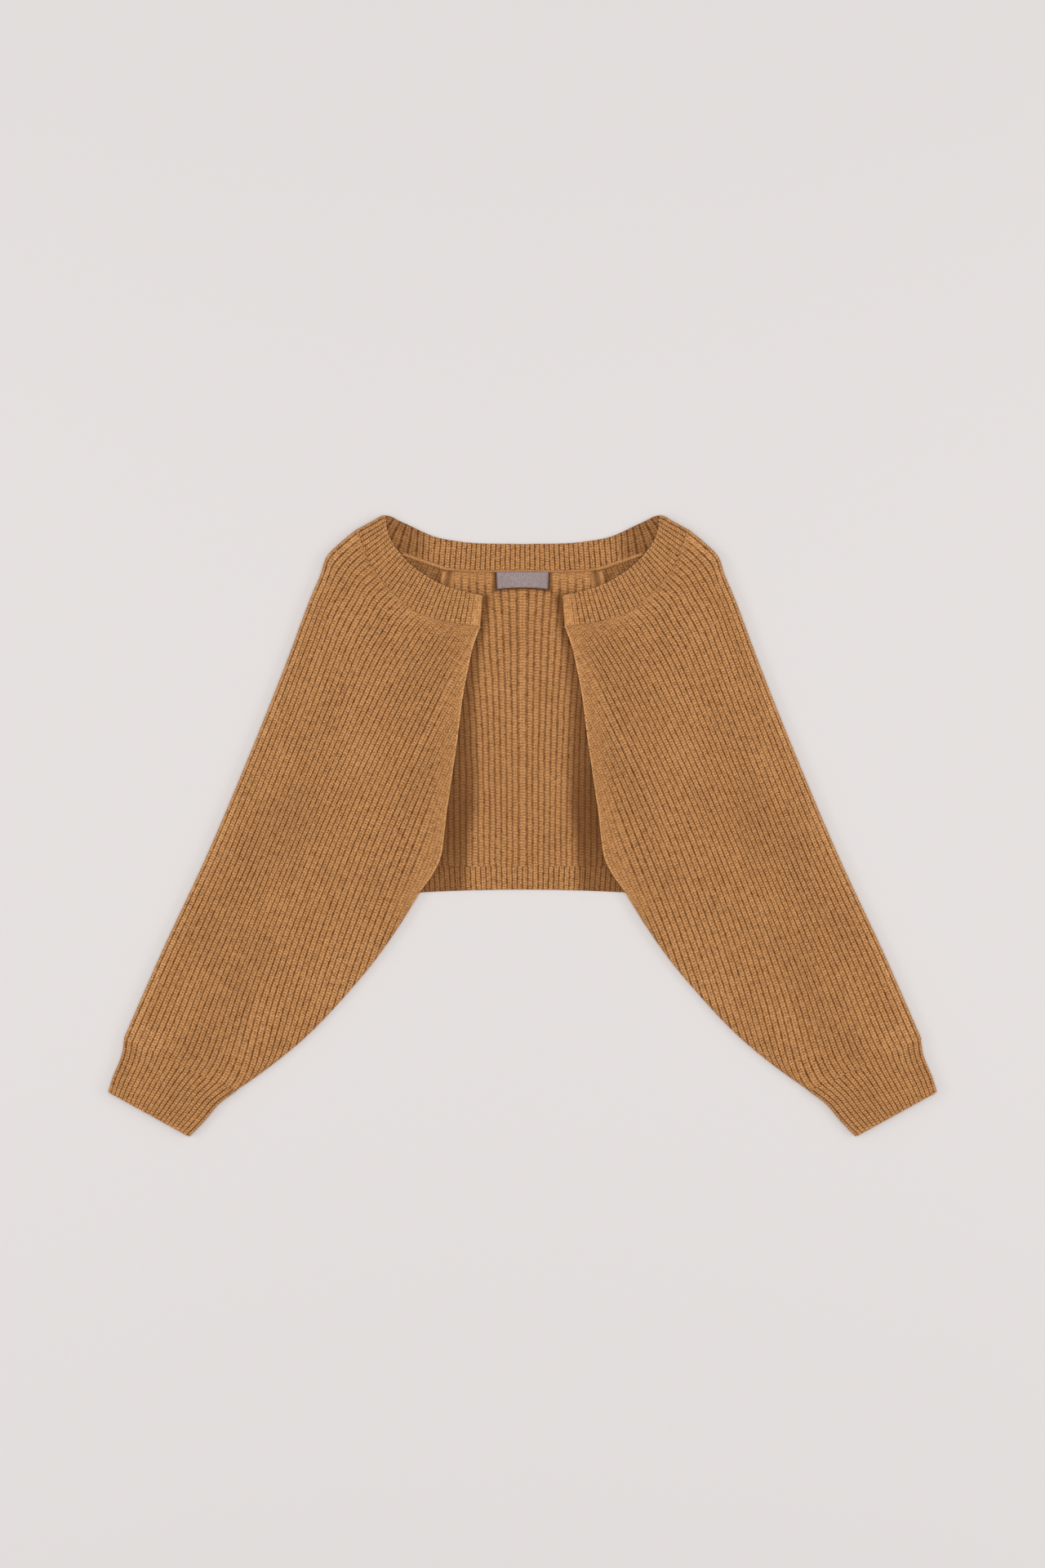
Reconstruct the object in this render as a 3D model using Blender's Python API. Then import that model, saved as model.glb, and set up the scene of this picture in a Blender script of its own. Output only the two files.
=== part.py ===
"""Dolman sleeve cardigan in rib knit, laid flat on its back with its front up.

The cut: a tapered back panel with a fine hem band, two dolman sleeve-fronts, two cuffs, one
neckband and a small neck label. Each sleeve-front is one sheet. Its back half lies on the
surface, it folds over along the outer edge of the sleeve, and its front half lies on top, from
the neckband to the cuff. The back panel fills the space between the two raglan seams.

Frame: X across the garment (the wearer's left is +X), Y up the garment towards the neck, Z up
from the surface it lies on. The origin is under the middle of the garment's box.
"""

import bisect
import math

import bmesh
import bpy
from mathutils import Vector

MM = 0.001

COLLECTION = "dolman_sleeve_cardigan"

# Cloth: the wall between ribs, how far a rib stands above it, and the gap left at a seam
WALL = 2.2 * MM
RIB = 0.8 * MM
FINE_RIB = 0.6 * MM
SEAM_GAP = 0.3 * MM

# Air between the two layers: at a fold, in the middle of a sleeve, at the closed underarm seam
FOLD_GAP = 1.6 * MM
SLEEVE_GAP = 3.0 * MM
UNDERARM_GAP = 0.3 * MM
FRONT_EDGE_GAP = 3.4 * MM

# Ribs on each piece, counted on the photographed garment
SLEEVE_RIBS = 38
CUFF_RIBS = 20
BACK_RIBS = 35
BACK_RIBS_UPRIGHT = 17
HEM_RIBS = 40
BAND_FRONT_RIBS = 32
BAND_BACK_RIBS = 52

# Back panel: rib pitch at the hem and at the neck, how late and up to where it widens, how many
# ribs wide the middle rib is, and where the hem's edge is at the centre
BACK_PITCH_HEM = 5.95 * MM
BACK_PITCH_NECK = 8.2 * MM
BACK_PITCH_RISE = 2.2
BACK_PITCH_TOP = 245.0 * MM
MIDDLE_RIB_WIDTH = 1.5
HEM_EDGE = -66.7 * MM

# Neck label, a bare woven tab sewn under the neckband
LABEL_WIDTH = 55.0 * MM
LABEL_DEPTH = 18.9 * MM
LABEL_BELOW_SEAM = 1.5 * MM
LABEL_THICKNESS = 0.8 * MM
LABEL_BOW = 1.7 * MM

# Outlines of the left half, in millimetres from the garment's centre line and up the garment
# place, x, y
OUTER_FOLD = (
    ("top of the cuff", 414.5, -221.6),
    ("forearm", 376.6, -135.2),
    ("elbow", 329.0, -33.2),
    ("upper arm", 285.6, 68.9),
    ("below the shoulder", 244.8, 170.9),
    ("shoulder drop", 219.3, 238.9),
    ("shoulder point", 208.8, 264.0),
    ("shoulder turn", 204.4, 278.0),
    ("shoulder slope", 188.4, 295.0),
    ("neckband seam", 172.4, 308.0),
)
# place, x, y
UNDERARM_EDGE = (
    ("inner end of the cuff", 299.0, -276.4),
    ("wrist", 275.1, -259.7),
    ("forearm", 227.4, -221.5),
    ("elbow", 179.7, -171.4),
    ("upper arm", 155.8, -142.8),
    ("near the underarm", 126.5, -101.2),
    ("underarm point", 107.1, -69.7),
)
# place, x, y
FRONT_EDGE = (
    ("end of the neckband", 43.8, 207.4),
    ("below the neckband", 55.3, 183.6),
    ("chest", 62.9, 136.9),
    ("below the chest", 70.6, 85.9),
    ("waist", 78.2, 34.9),
    ("last full rib", 79.9, 9.4),
)
# place, x, y
LAST_RIB = (
    ("underarm point", 107.1, -69.7),
    ("hem", 91.8, -35.7),
    ("lower front edge", 85.0, -16.2),
    ("last full rib", 79.9, 9.4),
)
# place, x, y
NECK_SEAM_FRONT = (
    ("shoulder fold", 170.8, 305.4),
    ("shoulder", 159.0, 273.7),
    ("side of the neck", 137.7, 246.5),
    ("collar bone", 107.1, 221.0),
    ("chest", 85.9, 214.2),
    ("end of the neckband", 43.8, 207.4),
)
# place, x, y
NECK_SEAM_BACK = (
    ("shoulder fold", 170.8, 305.4),
    ("shoulder", 128.4, 285.2),
    ("side of the neck", 97.4, 274.6),
    ("raglan seam", 79.0, 268.6),
    ("beside the label", 56.0, 266.5),
    ("centre back", 0.0, 266.5),
)
# place, x, y
BAND_EDGE_FRONT = (
    ("shoulder fold", 142.3, 320.9),
    ("below the fold", 141.0, 308.0),
    ("side of the neck", 123.4, 278.8),
    ("collar bone", 99.0, 259.3),
    ("chest", 74.8, 247.8),
    ("end of the neckband", 41.5, 239.5),
)
# place, x, y
BAND_EDGE_BACK = (
    ("shoulder fold", 142.3, 320.9),
    ("behind the fold", 140.4, 322.3),
    ("behind the shoulder", 129.0, 318.2),
    ("side of the neck", 117.0, 312.4),
    ("back of the neck", 91.0, 300.9),
    ("beside the centre", 66.6, 296.2),
    ("centre back", 0.0, 293.3),
)
# place, x, y
RAGLAN_SEAM = (
    ("underarm point", 107.1, -69.7),
    ("hem band", 109.4, -43.0),
    ("side", 111.0, 10.0),
    ("shoulder blade", 106.0, 120.0),
    ("side of the neck", 79.0, 268.6),
)
# place, x, y
CUFF_OUTER_SIDE = (
    ("top", 414.5, -221.6),
    ("upper part", 416.4, -235.9),
    ("lower part", 427.2, -264.4),
    ("edge", 431.3, -277.6),
)
# place, x, y
CUFF_INNER_SIDE = (
    ("top", 299.0, -276.4),
    ("upper part", 316.5, -289.5),
    ("lower part", 331.0, -306.5),
    ("edge", 347.5, -323.7),
)

# Share of the sleeve's width where its outline turns: the cuff's inner end, on the upper and on the
# under layer, and the neckband's end; and how far along the underarm edge its last rib starts
CUFF_SHARE = 20 / SLEEVE_RIBS
UNDER_CUFF_SHARE = 0.4
NECK_SHARE = 28 / SLEEVE_RIBS
LAST_RIB_SHARE = 0.955

# Where the ribs run out along an edge: share of the ribs that end there, share of the edge's length
CUFF_RIB_ENDS = ((0.0, 0.0), (0.206, 0.2), (0.417, 0.4), (0.628, 0.6), (0.827, 0.8), (1.0, 1.0))
UNDERARM_RIB_ENDS = ((0.0, 0.0), (0.27, 0.2), (0.52, 0.4), (0.72, 0.6), (0.88, 0.8), (1.0, 1.0))
NECK_RIB_ENDS = ((0.0, 0.0), (0.175, 0.2), (0.355, 0.4), (0.55, 0.6), (0.76, 0.8), (1.0, 1.0))
FRONT_RIB_ENDS = (
    (0.0, 0.0), (0.05, 0.15), (0.23, 0.32), (0.384, 0.42), (0.626, 0.61), (0.81, 0.8), (1.0, 1.0),
)

# Behind the neck the band's ribs stand nearly upright: share of its ribs from the shoulder, share
# of the length of its free edge, and the same for its seam
BAND_EDGE_RIB_ENDS = (
    (0.0, 0.0), (0.21, 0.255), (0.365, 0.427), (0.52, 0.578), (0.673, 0.712), (0.827, 0.848), (1.0, 1.0),
)
BAND_SEAM_RIB_ENDS = (
    (0.0, 0.0), (0.1, 0.192), (0.21, 0.364), (0.365, 0.505), (0.52, 0.635), (0.673, 0.751),
    (0.827, 0.869), (1.0, 1.0),
)

# How sharply the bend of a sleeve layer's inner side fades towards its fold
UPPER_INNER_REACH = 7
UNDER_INNER_REACH = 1

# The upper layer's ribs bow towards the outer fold: how far, and the middle and reach of the bow
# as shares across the sleeve
RIB_BOW = 17.0 * MM
RIB_BOW_MIDDLE = 0.61
RIB_BOW_REACH = 0.28

# Broad troughs and ridges of the upper layer, in millimetres
# place, x and y of one end, x and y of the other, half width, height
CREASES = (
    ("trough down the sleeve", 246.0, 26.0, 382.0, -178.0, 24.0, -0.9),
    ("ridge down the forearm", 204.0, -59.0, 357.0, -254.0, 26.0, 0.7),
    ("swell over the chest", 120.0, 190.0, 150.0, 60.0, 40.0, 0.5),
)

# Rows up a sleeve, as shares of the length of its ribs; the second is level with the hem band's top
SLEEVE_ROWS = (0.0, 0.08, 0.15, 0.23, 0.32, 0.42, 0.52, 0.62, 0.72, 0.81, 0.88, 0.93, 0.97, 1.0)
BACK_ROWS = (0.08, 0.32, 0.62, 0.88, 1.0)
UNDER_COLUMNS = 20
CUFF_ROWS = (0.0, 0.25, 0.5, 0.75, 1.0)
CUFF_UNDER_COLUMNS = 4
BAND_ROWS = (0.0, 0.5, 1.0)
LABEL_COLUMNS = 8

# Angles of the stations round a fold, and how many ribbed stations one plain face spans
FOLD_ANGLES = (-54.0, -18.0, 18.0, 54.0)
PLAIN_EVERY = 6

# Rib knit in camel wool, and the woven tab
CLOTH_COLOUR = "A7754B"
LABEL_COLOUR = "96827F"
CLOTH_ROUGHNESS = 0.9
LABEL_ROUGHNESS = 0.6


def linear_colour(hex_code):
    """Turn an sRGB hex code into Blender's linear colour."""
    shares = [int(hex_code[i:i + 2], 16) / 255 for i in (0, 2, 4)]
    linear = [s / 12.92 if s <= 0.04045 else ((s + 0.055) / 1.055) ** 2.4 for s in shares]
    return (*linear, 1.0)


def fabric_material(name, hex_code, roughness):
    """A plain cloth material for one piece."""
    material = bpy.data.materials.new(name)
    material.use_nodes = True
    shader = material.node_tree.nodes["Principled BSDF"]
    shader.inputs["Base Color"].default_value = linear_colour(hex_code)
    shader.inputs["Roughness"].default_value = roughness
    shader.inputs["Metallic"].default_value = 0.0
    return material


def smooth_step(value):
    """Ease from 0 to 1 as the value goes from 0 to 1."""
    value = min(max(value, 0.0), 1.0)
    return value * value * (3 - 2 * value)


def table_points(table):
    """The plan points of a table of places in millimetres."""
    return [Vector((x * MM, y * MM)) for _, x, y in table]


def smooth_curve(knots, steps=16):
    """A smooth plan curve through some points, read by the share of its length."""
    ends = [2 * knots[0] - knots[1], *knots, 2 * knots[-1] - knots[-2]]
    points = [knots[0]]
    for before, start, end, after in zip(ends, ends[1:], ends[2:], ends[3:]):
        first, middle, last = (start - before).length, (end - start).length, (after - end).length
        leave = (start - before) / first - (end - before) / (first + middle) + (end - start) / middle
        arrive = (end - start) / middle - (after - start) / (middle + last) + (after - end) / last
        for step in range(1, steps + 1):
            t = step / steps
            points.append(
                (2 * t**3 - 3 * t**2 + 1) * start
                + (t**3 - 2 * t**2 + t) * middle * leave
                + (3 * t**2 - 2 * t**3) * end
                + (t**3 - t**2) * middle * arrive
            )
    marks = [0.0]
    for start, end in zip(points, points[1:]):
        marks.append(marks[-1] + (end - start).length)

    def at(share):
        mark = min(max(share, 0.0), 1.0) * marks[-1]
        i = min(max(bisect.bisect_right(marks, mark) - 1, 0), len(points) - 2)
        return points[i].lerp(points[i + 1], (mark - marks[i]) / (marks[i + 1] - marks[i]))

    return at


def straight_line(start, end):
    """A straight plan line, read by the share of its length."""
    return lambda share: start.lerp(end, share)


def joined_curves(first, second, share_of_first):
    """One curve that runs along the first up to its share, then along the second."""
    def at(share):
        if share <= share_of_first:
            return first(share / share_of_first)
        return second((share - share_of_first) / (1 - share_of_first))
    return at


def smooth_value(marks, values, mark):
    """The value at a mark, eased through the values at the marks of a table."""
    i = min(max(bisect.bisect_right(marks, mark) - 1, 0), len(marks) - 2)
    span = marks[i + 1] - marks[i]
    slopes = []
    for k in (i, i + 1):
        before, after = max(k - 1, 0), min(k + 1, len(marks) - 1)
        slopes.append((values[after] - values[before]) / (marks[after] - marks[before]))
    t = (mark - marks[i]) / span
    return (
        (2 * t**3 - 3 * t**2 + 1) * values[i]
        + (t**3 - 2 * t**2 + t) * span * slopes[0]
        + (3 * t**2 - 2 * t**3) * values[i + 1]
        + (t**3 - t**2) * span * slopes[1]
    )


def curve_by_ribs(curve, rib_ends):
    """The same curve, read by the share of the ribs that end along it."""
    marks, values = zip(*rib_ends)
    return lambda share: curve(smooth_value(marks, values, share))


def across(direction):
    """The plan direction a quarter turn to the right of this one."""
    return Vector((direction.y, -direction.x)).normalized()


OUTER_FOLD_CURVE = smooth_curve(table_points(OUTER_FOLD))
UNDERARM_CURVE = smooth_curve(table_points(UNDERARM_EDGE))
FRONT_EDGE_CURVE = smooth_curve(table_points(FRONT_EDGE))
LAST_RIB_CURVE = smooth_curve([UNDERARM_CURVE(LAST_RIB_SHARE), *table_points(LAST_RIB)])
SEAM_FRONT_CURVE = smooth_curve(table_points(NECK_SEAM_FRONT))
SEAM_BACK_CURVE = smooth_curve(table_points(NECK_SEAM_BACK))
BAND_FRONT_CURVE = smooth_curve(table_points(BAND_EDGE_FRONT))
BAND_BACK_CURVE = smooth_curve(table_points(BAND_EDGE_BACK))
RAGLAN_CURVE = smooth_curve(table_points(RAGLAN_SEAM))
CUFF_OUTER_CURVE = smooth_curve(table_points(CUFF_OUTER_SIDE))
CUFF_INNER_CURVE = smooth_curve(table_points(CUFF_INNER_SIDE))

# Round the outside and the inside of every fold, and square to the two ends of a sleeve's fold
FOLD_RADIUS = WALL + FOLD_GAP / 2
FOLD_INNER_RADIUS = FOLD_GAP / 2
CUFF_ACROSS = (OUTER_FOLD_CURVE(0.0) - UNDERARM_CURVE(0.0)).normalized()
SHOULDER_ACROSS = across(BAND_FRONT_CURVE(0.0) - SEAM_FRONT_CURVE(0.0))


def raglan_line(share):
    """The raglan seam: straight between the back panel's rows, so that both sides meet along it."""
    rows = (0.0, *BACK_ROWS)
    i = min(max(bisect.bisect_right(rows, share) - 1, 0), len(rows) - 2)
    start, end = RAGLAN_CURVE(rows[i]), RAGLAN_CURVE(rows[i + 1])
    return start.lerp(end, (share - rows[i]) / (rows[i + 1] - rows[i]))


def share_at_distance(curve, x):
    """The share of a curve that runs inward where it is this far from the centre line."""
    low, high = 0.0, 1.0
    for _ in range(40):
        middle = (low + high) / 2
        if curve(middle).x > x:
            low = middle
        else:
            high = middle
    return (low + high) / 2


# How far along the back neck seam the raglan seam meets it
RAGLAN_SHARE = share_at_distance(SEAM_BACK_CURVE, RAGLAN_CURVE(1.0).x)


def fold_across(share):
    """The direction that points out of the sleeve, square to its fold line."""
    step = 0.01
    along = OUTER_FOLD_CURVE(share + step) - OUTER_FOLD_CURVE(share - step)
    square = across(along)
    cuff = 1 - smooth_step(share / 0.06)
    shoulder = smooth_step((share - 0.94) / 0.06)
    return (square * (1 - cuff - shoulder) + CUFF_ACROSS * cuff + SHOULDER_ACROSS * shoulder).normalized()


def fold_line(share):
    """Where the sleeve's two layers leave their fold."""
    return OUTER_FOLD_CURVE(share) - fold_across(share) * FOLD_RADIUS


def patch_between(lower, upper, outer, inner, inner_reach):
    """A plan patch between four edge curves, read across from the fold and up from the cuff.

    Its lines run straight from the lower edge to the upper one, and bend as the two side edges
    do: all of them follow the outer side, and only the last ones follow the inner side.
    """
    def at(p, b):
        outer_bend = outer(b) - lower(0.0).lerp(upper(0.0), b)
        inner_bend = inner(b) - lower(1.0).lerp(upper(1.0), b)
        return lower(p).lerp(upper(p), b) + outer_bend * (1 - p) + inner_bend * p**inner_reach
    return at


def plan_grid(patch, shares_across, shares_up, inner_inset):
    """The patch's points row by row, drawn in by half a seam gap along its seamed edges."""
    grid = [[patch(p, b) for p in shares_across] for b in shares_up]
    drawn = [[point.copy() for point in row] for row in grid]
    last_row, last_column = len(grid) - 1, len(shares_across) - 1
    for row, neighbour in ((0, 1), (last_row, last_row - 1)):
        for k in range(last_column + 1):
            along = grid[row][min(k + 1, last_column)] - grid[row][max(k - 1, 0)]
            inward = across(along)
            if inward.dot(grid[neighbour][k] - grid[row][k]) < 0:
                inward = -inward
            drawn[row][k] += inward * SEAM_GAP / 2
    for row in range(last_row + 1):
        along = grid[min(row + 1, last_row)][last_column] - grid[max(row - 1, 0)][last_column]
        inward = across(along)
        if inward.dot(grid[row][last_column - 1] - grid[row][last_column]) < 0:
            inward = -inward
        drawn[row][last_column] += inward * inner_inset
    return drawn


def rib_bow(p, b):
    """How far the ribs bow towards the outer fold, at a share across and up the sleeve."""
    away = (p - RIB_BOW_MIDDLE) / RIB_BOW_REACH
    return RIB_BOW * math.exp(-away * away) * math.sin(math.pi * b) * smooth_step((1 - p) / 0.12)


def raised(point, height):
    """A plan point lifted to a height."""
    return Vector((point.x, point.y, height))


def crease_height(point):
    """How far the broad troughs and ridges move the upper layer at a plan point."""
    height = 0.0
    for _, x0, y0, x1, y1, half_width, rise in CREASES:
        start, end = Vector((x0 * MM, y0 * MM)), Vector((x1 * MM, y1 * MM))
        run = end - start
        share = min(max((point - start).dot(run) / run.length_squared, 0.0), 1.0)
        distance = (point - start - run * share).length / (half_width * MM)
        height += rise * MM * math.exp(-distance * distance)
    return height


def sleeve_gap(p, b, point):
    """Air under the upper layer of a sleeve-front, at a share across and up it."""
    closing = smooth_step((p - CUFF_SHARE + 0.06) / 0.08) * (1 - smooth_step((p - 0.9) / 0.1))
    lower_edge = FOLD_GAP + (UNDERARM_GAP - FOLD_GAP) * closing
    rise = smooth_step(p / 0.25) * smooth_step((1 - p) / 0.12)
    middle = FOLD_GAP + (SLEEVE_GAP - FOLD_GAP) * rise
    middle += (FRONT_EDGE_GAP - SLEEVE_GAP) * smooth_step((b - 0.55) / 0.45) * smooth_step((p - 0.5) / 0.25)
    middle += crease_height(point) * smooth_step(p / 0.08) * smooth_step((1 - b) / 0.15)
    return lower_edge + (middle - lower_edge) * smooth_step(b / 0.11)


def band_gap(share):
    """Air under the front part of the neckband, from the shoulder fold to its end."""
    return sleeve_gap(share * NECK_SHARE, 1.0, SEAM_FRONT_CURVE(share))


def sheet_object(name, outer, inner, outer_kept, inner_kept, ring=False):
    """A closed cloth wall from rows of outer and inner points.

    A row crosses the sheet, station by station. The rows between the sheet's two rims keep only
    the stations named for their side, so a plain side has few faces. In a ring the last station
    meets the first; otherwise the wall is closed along its first and last stations too.
    """
    mesh = bmesh.new()
    stations = list(range(len(outer[0])))
    last = len(outer) - 1
    sides = []
    for rows, kept in ((outer, outer_kept), (inner, inner_kept)):
        chains = [stations if row in (0, last) else kept for row in range(last + 1)]
        vertices = [{k: mesh.verts.new(row[k]) for k in chain} for row, chain in zip(rows, chains)]
        for row in range(last):
            join_chains(mesh, vertices[row], vertices[row + 1], chains[row], chains[row + 1], ring)
        sides.append(vertices)
    outer_side, inner_side = sides
    for row in (0, last):
        join_chains(mesh, outer_side[row], inner_side[row], stations, stations, ring)
    if not ring:
        for k in (stations[0], stations[-1]):
            for row in range(last):
                mesh.faces.new((outer_side[row][k], outer_side[row + 1][k],
                                inner_side[row + 1][k], inner_side[row][k]))
    bmesh.ops.recalc_face_normals(mesh, faces=mesh.faces)
    if mesh.calc_volume(signed=True) < 0:
        bmesh.ops.reverse_faces(mesh, faces=mesh.faces)
    data = bpy.data.meshes.new(name)
    mesh.to_mesh(data)
    mesh.free()
    piece = bpy.data.objects.new(name, data)
    bpy.data.collections[COLLECTION].objects.link(piece)
    return piece


def join_chains(mesh, first, second, first_kept, second_kept, ring):
    """Join two chains of stations with quads where their stations agree, triangles elsewhere."""
    i, j = 0, 0
    while i < len(first_kept) - 1 or j < len(second_kept) - 1:
        next_first = first_kept[i + 1] if i < len(first_kept) - 1 else math.inf
        next_second = second_kept[j + 1] if j < len(second_kept) - 1 else math.inf
        here, there = first[first_kept[i]], second[second_kept[j]]
        if next_first == next_second and first_kept[i] == second_kept[j]:
            mesh.faces.new((here, first[next_first], second[next_second], there))
            i, j = i + 1, j + 1
        elif next_first <= next_second:
            mesh.faces.new((here, first[next_first], there))
            i += 1
        else:
            mesh.faces.new((here, second[next_second], there))
            j += 1
    if ring:
        mesh.faces.new((first[first_kept[-1]], first[first_kept[0]],
                        second[second_kept[0]], second[second_kept[-1]]))


def every(first, last, step):
    """Every so many stations from first to last, with both ends."""
    return sorted({*range(first, last, step), last})


def mirrored(rows, side):
    """The rows of the left half, or their mirror image for the right."""
    return [[Vector((point.x * side, point.y, point.z)) for point in row] for row in rows]


def fold_stations(centre, outward, peak):
    """Outer and inner points round a fold, from the lower layer up to the upper one."""
    outer, inner = [], []
    for count, angle in enumerate(FOLD_ANGLES):
        turn = math.radians(angle)
        radius = FOLD_RADIUS + (peak if count % 2 else 0.0)
        outer.append(raised(centre + outward * radius * math.cos(turn),
                            max(FOLD_RADIUS + radius * math.sin(turn), 0.0)))
        inner.append(raised(centre + outward * FOLD_INNER_RADIUS * math.cos(turn),
                            FOLD_RADIUS + FOLD_INNER_RADIUS * math.sin(turn)))
    return outer, inner


def build_sleeve(name, side):
    """One dolman sleeve-front: back half, outer fold and ribbed front half, from raglan to front edge."""
    columns = 2 * SLEEVE_RIBS
    upper_shares = [k / columns for k in range(columns + 1)]
    under_shares = [1 - k / UNDER_COLUMNS for k in range(UNDER_COLUMNS + 1)]
    cuff_start, cuff_end = fold_line(0.0), UNDERARM_CURVE(0.0)
    cuff_line = straight_line(cuff_start, cuff_end)

    def open_underarm(share):
        return UNDERARM_CURVE(share * LAST_RIB_SHARE)

    upper = patch_between(
        joined_curves(curve_by_ribs(cuff_line, CUFF_RIB_ENDS),
                      curve_by_ribs(open_underarm, UNDERARM_RIB_ENDS), CUFF_SHARE),
        joined_curves(curve_by_ribs(SEAM_FRONT_CURVE, NECK_RIB_ENDS),
                      curve_by_ribs(FRONT_EDGE_CURVE, FRONT_RIB_ENDS), NECK_SHARE),
        fold_line,
        LAST_RIB_CURVE,
        UPPER_INNER_REACH,
    )
    under = patch_between(
        joined_curves(cuff_line, UNDERARM_CURVE, UNDER_CUFF_SHARE),
        lambda share: SEAM_BACK_CURVE(share * RAGLAN_SHARE),
        fold_line,
        raglan_line,
        UNDER_INNER_REACH,
    )

    def bowed_upper(p, b):
        return upper(p, b) + CUFF_ACROSS * rib_bow(p, b)

    upper_grid = plan_grid(bowed_upper, upper_shares, SLEEVE_ROWS, 0.0)
    under_grid = plan_grid(under, sorted(under_shares), SLEEVE_ROWS, SEAM_GAP / 2)
    outer, inner = [], []
    for row, b in enumerate(SLEEVE_ROWS):
        under_points = list(reversed(under_grid[row]))
        outer_row = [raised(point, 0.0) for point in under_points]
        inner_row = [raised(point, WALL) for point in under_points]
        centre, outward = under_grid[row][0], fold_across(b)
        fold_outer, fold_inner = fold_stations(centre, outward, RIB)
        outer_row += fold_outer
        inner_row += fold_inner
        for k, (p, point) in enumerate(zip(upper_shares, upper_grid[row])):
            floor = WALL + sleeve_gap(p, b, point)
            outer_row.append(raised(point, floor + WALL + RIB * (k % 2)))
            inner_row.append(raised(point, floor))
        outer.append(outer_row)
        inner.append(inner_row)
    stations = list(range(len(outer[0])))
    first_upper = len(stations) - columns - 1
    inner_kept = stations[:first_upper] + every(first_upper, stations[-1], PLAIN_EVERY)
    return sheet_object(name, mirrored(outer, side), mirrored(inner, side), stations, inner_kept)


def build_cuff(name, side):
    """One cuff: a flattened ribbed tube that narrows to its edge."""
    columns = 2 * CUFF_RIBS
    outer, inner = [], []
    for share in CUFF_ROWS:
        start, end = CUFF_OUTER_CURVE(share), CUFF_INNER_CURVE(share)
        outward = (start - end).normalized()
        start, end = start - outward * FOLD_RADIUS, end + outward * FOLD_RADIUS
        if share == 0.0:
            step_down = -across(outward) * SEAM_GAP / 2
            step_down *= 1 if step_down.y < 0 else -1
            start, end = start + step_down, end + step_down
        outer_row, inner_row = fold_stations(start, outward, FINE_RIB)
        for k in range(columns + 1):
            point = start.lerp(end, k / columns)
            outer_row.append(raised(point, 2 * FOLD_RADIUS + FINE_RIB * (k % 2)))
            inner_row.append(raised(point, WALL + FOLD_GAP))
        far_outer, far_inner = fold_stations(end, -outward, FINE_RIB)
        outer_row += reversed(far_outer)
        inner_row += reversed(far_inner)
        for k in range(CUFF_UNDER_COLUMNS + 1):
            point = end.lerp(start, k / CUFF_UNDER_COLUMNS)
            outer_row.append(raised(point, 0.0))
            inner_row.append(raised(point, WALL))
        outer.append(outer_row)
        inner.append(inner_row)
    stations = list(range(len(outer[0])))
    top = len(FOLD_ANGLES)
    inner_kept = stations[:top] + every(top, top + columns, PLAIN_EVERY) + stations[top + columns + 1:]
    return sheet_object(name, mirrored(outer, side), mirrored(inner, side), stations, inner_kept, ring=True)


def build_back_panel():
    """The back panel: upright ribs on its upper side, cut off by the raglan seams."""
    columns = 2 * BACK_RIBS
    under, upper = [], []
    for b in BACK_ROWS:
        seam = RAGLAN_CURVE(b)
        half_width = seam.x - SEAM_GAP / 2
        under_row, upper_row = [], []
        for k in range(columns + 1):
            rib = (k - BACK_RIBS) / 2
            x, fade = back_rib_place(rib, seam.y, half_width)
            y = seam.y
            if b == BACK_ROWS[0]:
                y += SEAM_GAP / 2
            if b == BACK_ROWS[-1]:
                y = SEAM_BACK_CURVE(share_at_distance(SEAM_BACK_CURVE, abs(x))).y - SEAM_GAP / 2
            under_row.append(Vector((x, y, 0.0)))
            upper_row.append(Vector((x, y, WALL + RIB * fade * (k % 2))))
        under.append(under_row)
        upper.append(upper_row)
    return sheet_object("back_panel", upper, under, list(range(columns + 1)), every(0, columns, PLAIN_EVERY))


def back_rib_place(rib, y, half_width):
    """Where a rib counted from the centre is at this height, and how much of its relief is left."""
    opening = min(max(y / BACK_PITCH_TOP, 0.0), 1.0) ** BACK_PITCH_RISE
    pitch = BACK_PITCH_HEM + (BACK_PITCH_NECK - BACK_PITCH_HEM) * opening
    extra = (MIDDLE_RIB_WIDTH - 1) * min(abs(rib), 0.5)
    upright = BACK_RIBS_UPRIGHT / 2
    if abs(rib) <= upright:
        return math.copysign((abs(rib) + extra) * pitch, rib), 1.0
    side_pitch = (half_width - (upright + extra) * pitch) / (BACK_RIBS / 2 - upright)
    x = (upright + extra) * pitch + (abs(rib) - upright) * side_pitch
    return math.copysign(x, rib), smooth_step(side_pitch / pitch)


def build_hem_band():
    """The fine ribbed band along the back panel's lower edge."""
    columns = 2 * HEM_RIBS
    under, upper = [], []
    for b, edge in ((BACK_ROWS[0], RAGLAN_CURVE(BACK_ROWS[0]).y - SEAM_GAP / 2), (0.0, HEM_EDGE)):
        half_width = RAGLAN_CURVE(b).x - SEAM_GAP / 2
        drop = RAGLAN_CURVE(b).y - HEM_EDGE if b == 0.0 else 0.0
        under_row, upper_row = [], []
        for k in range(columns + 1):
            share = 2 * k / columns - 1
            x, y = half_width * share, edge + drop * share * share
            under_row.append(Vector((x, y, 0.0)))
            upper_row.append(Vector((x, y, WALL + FINE_RIB * (k % 2))))
        under.append(under_row)
        upper.append(upper_row)
    return sheet_object("hem_band", upper, under, list(range(columns + 1)), every(0, columns, PLAIN_EVERY))


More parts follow.
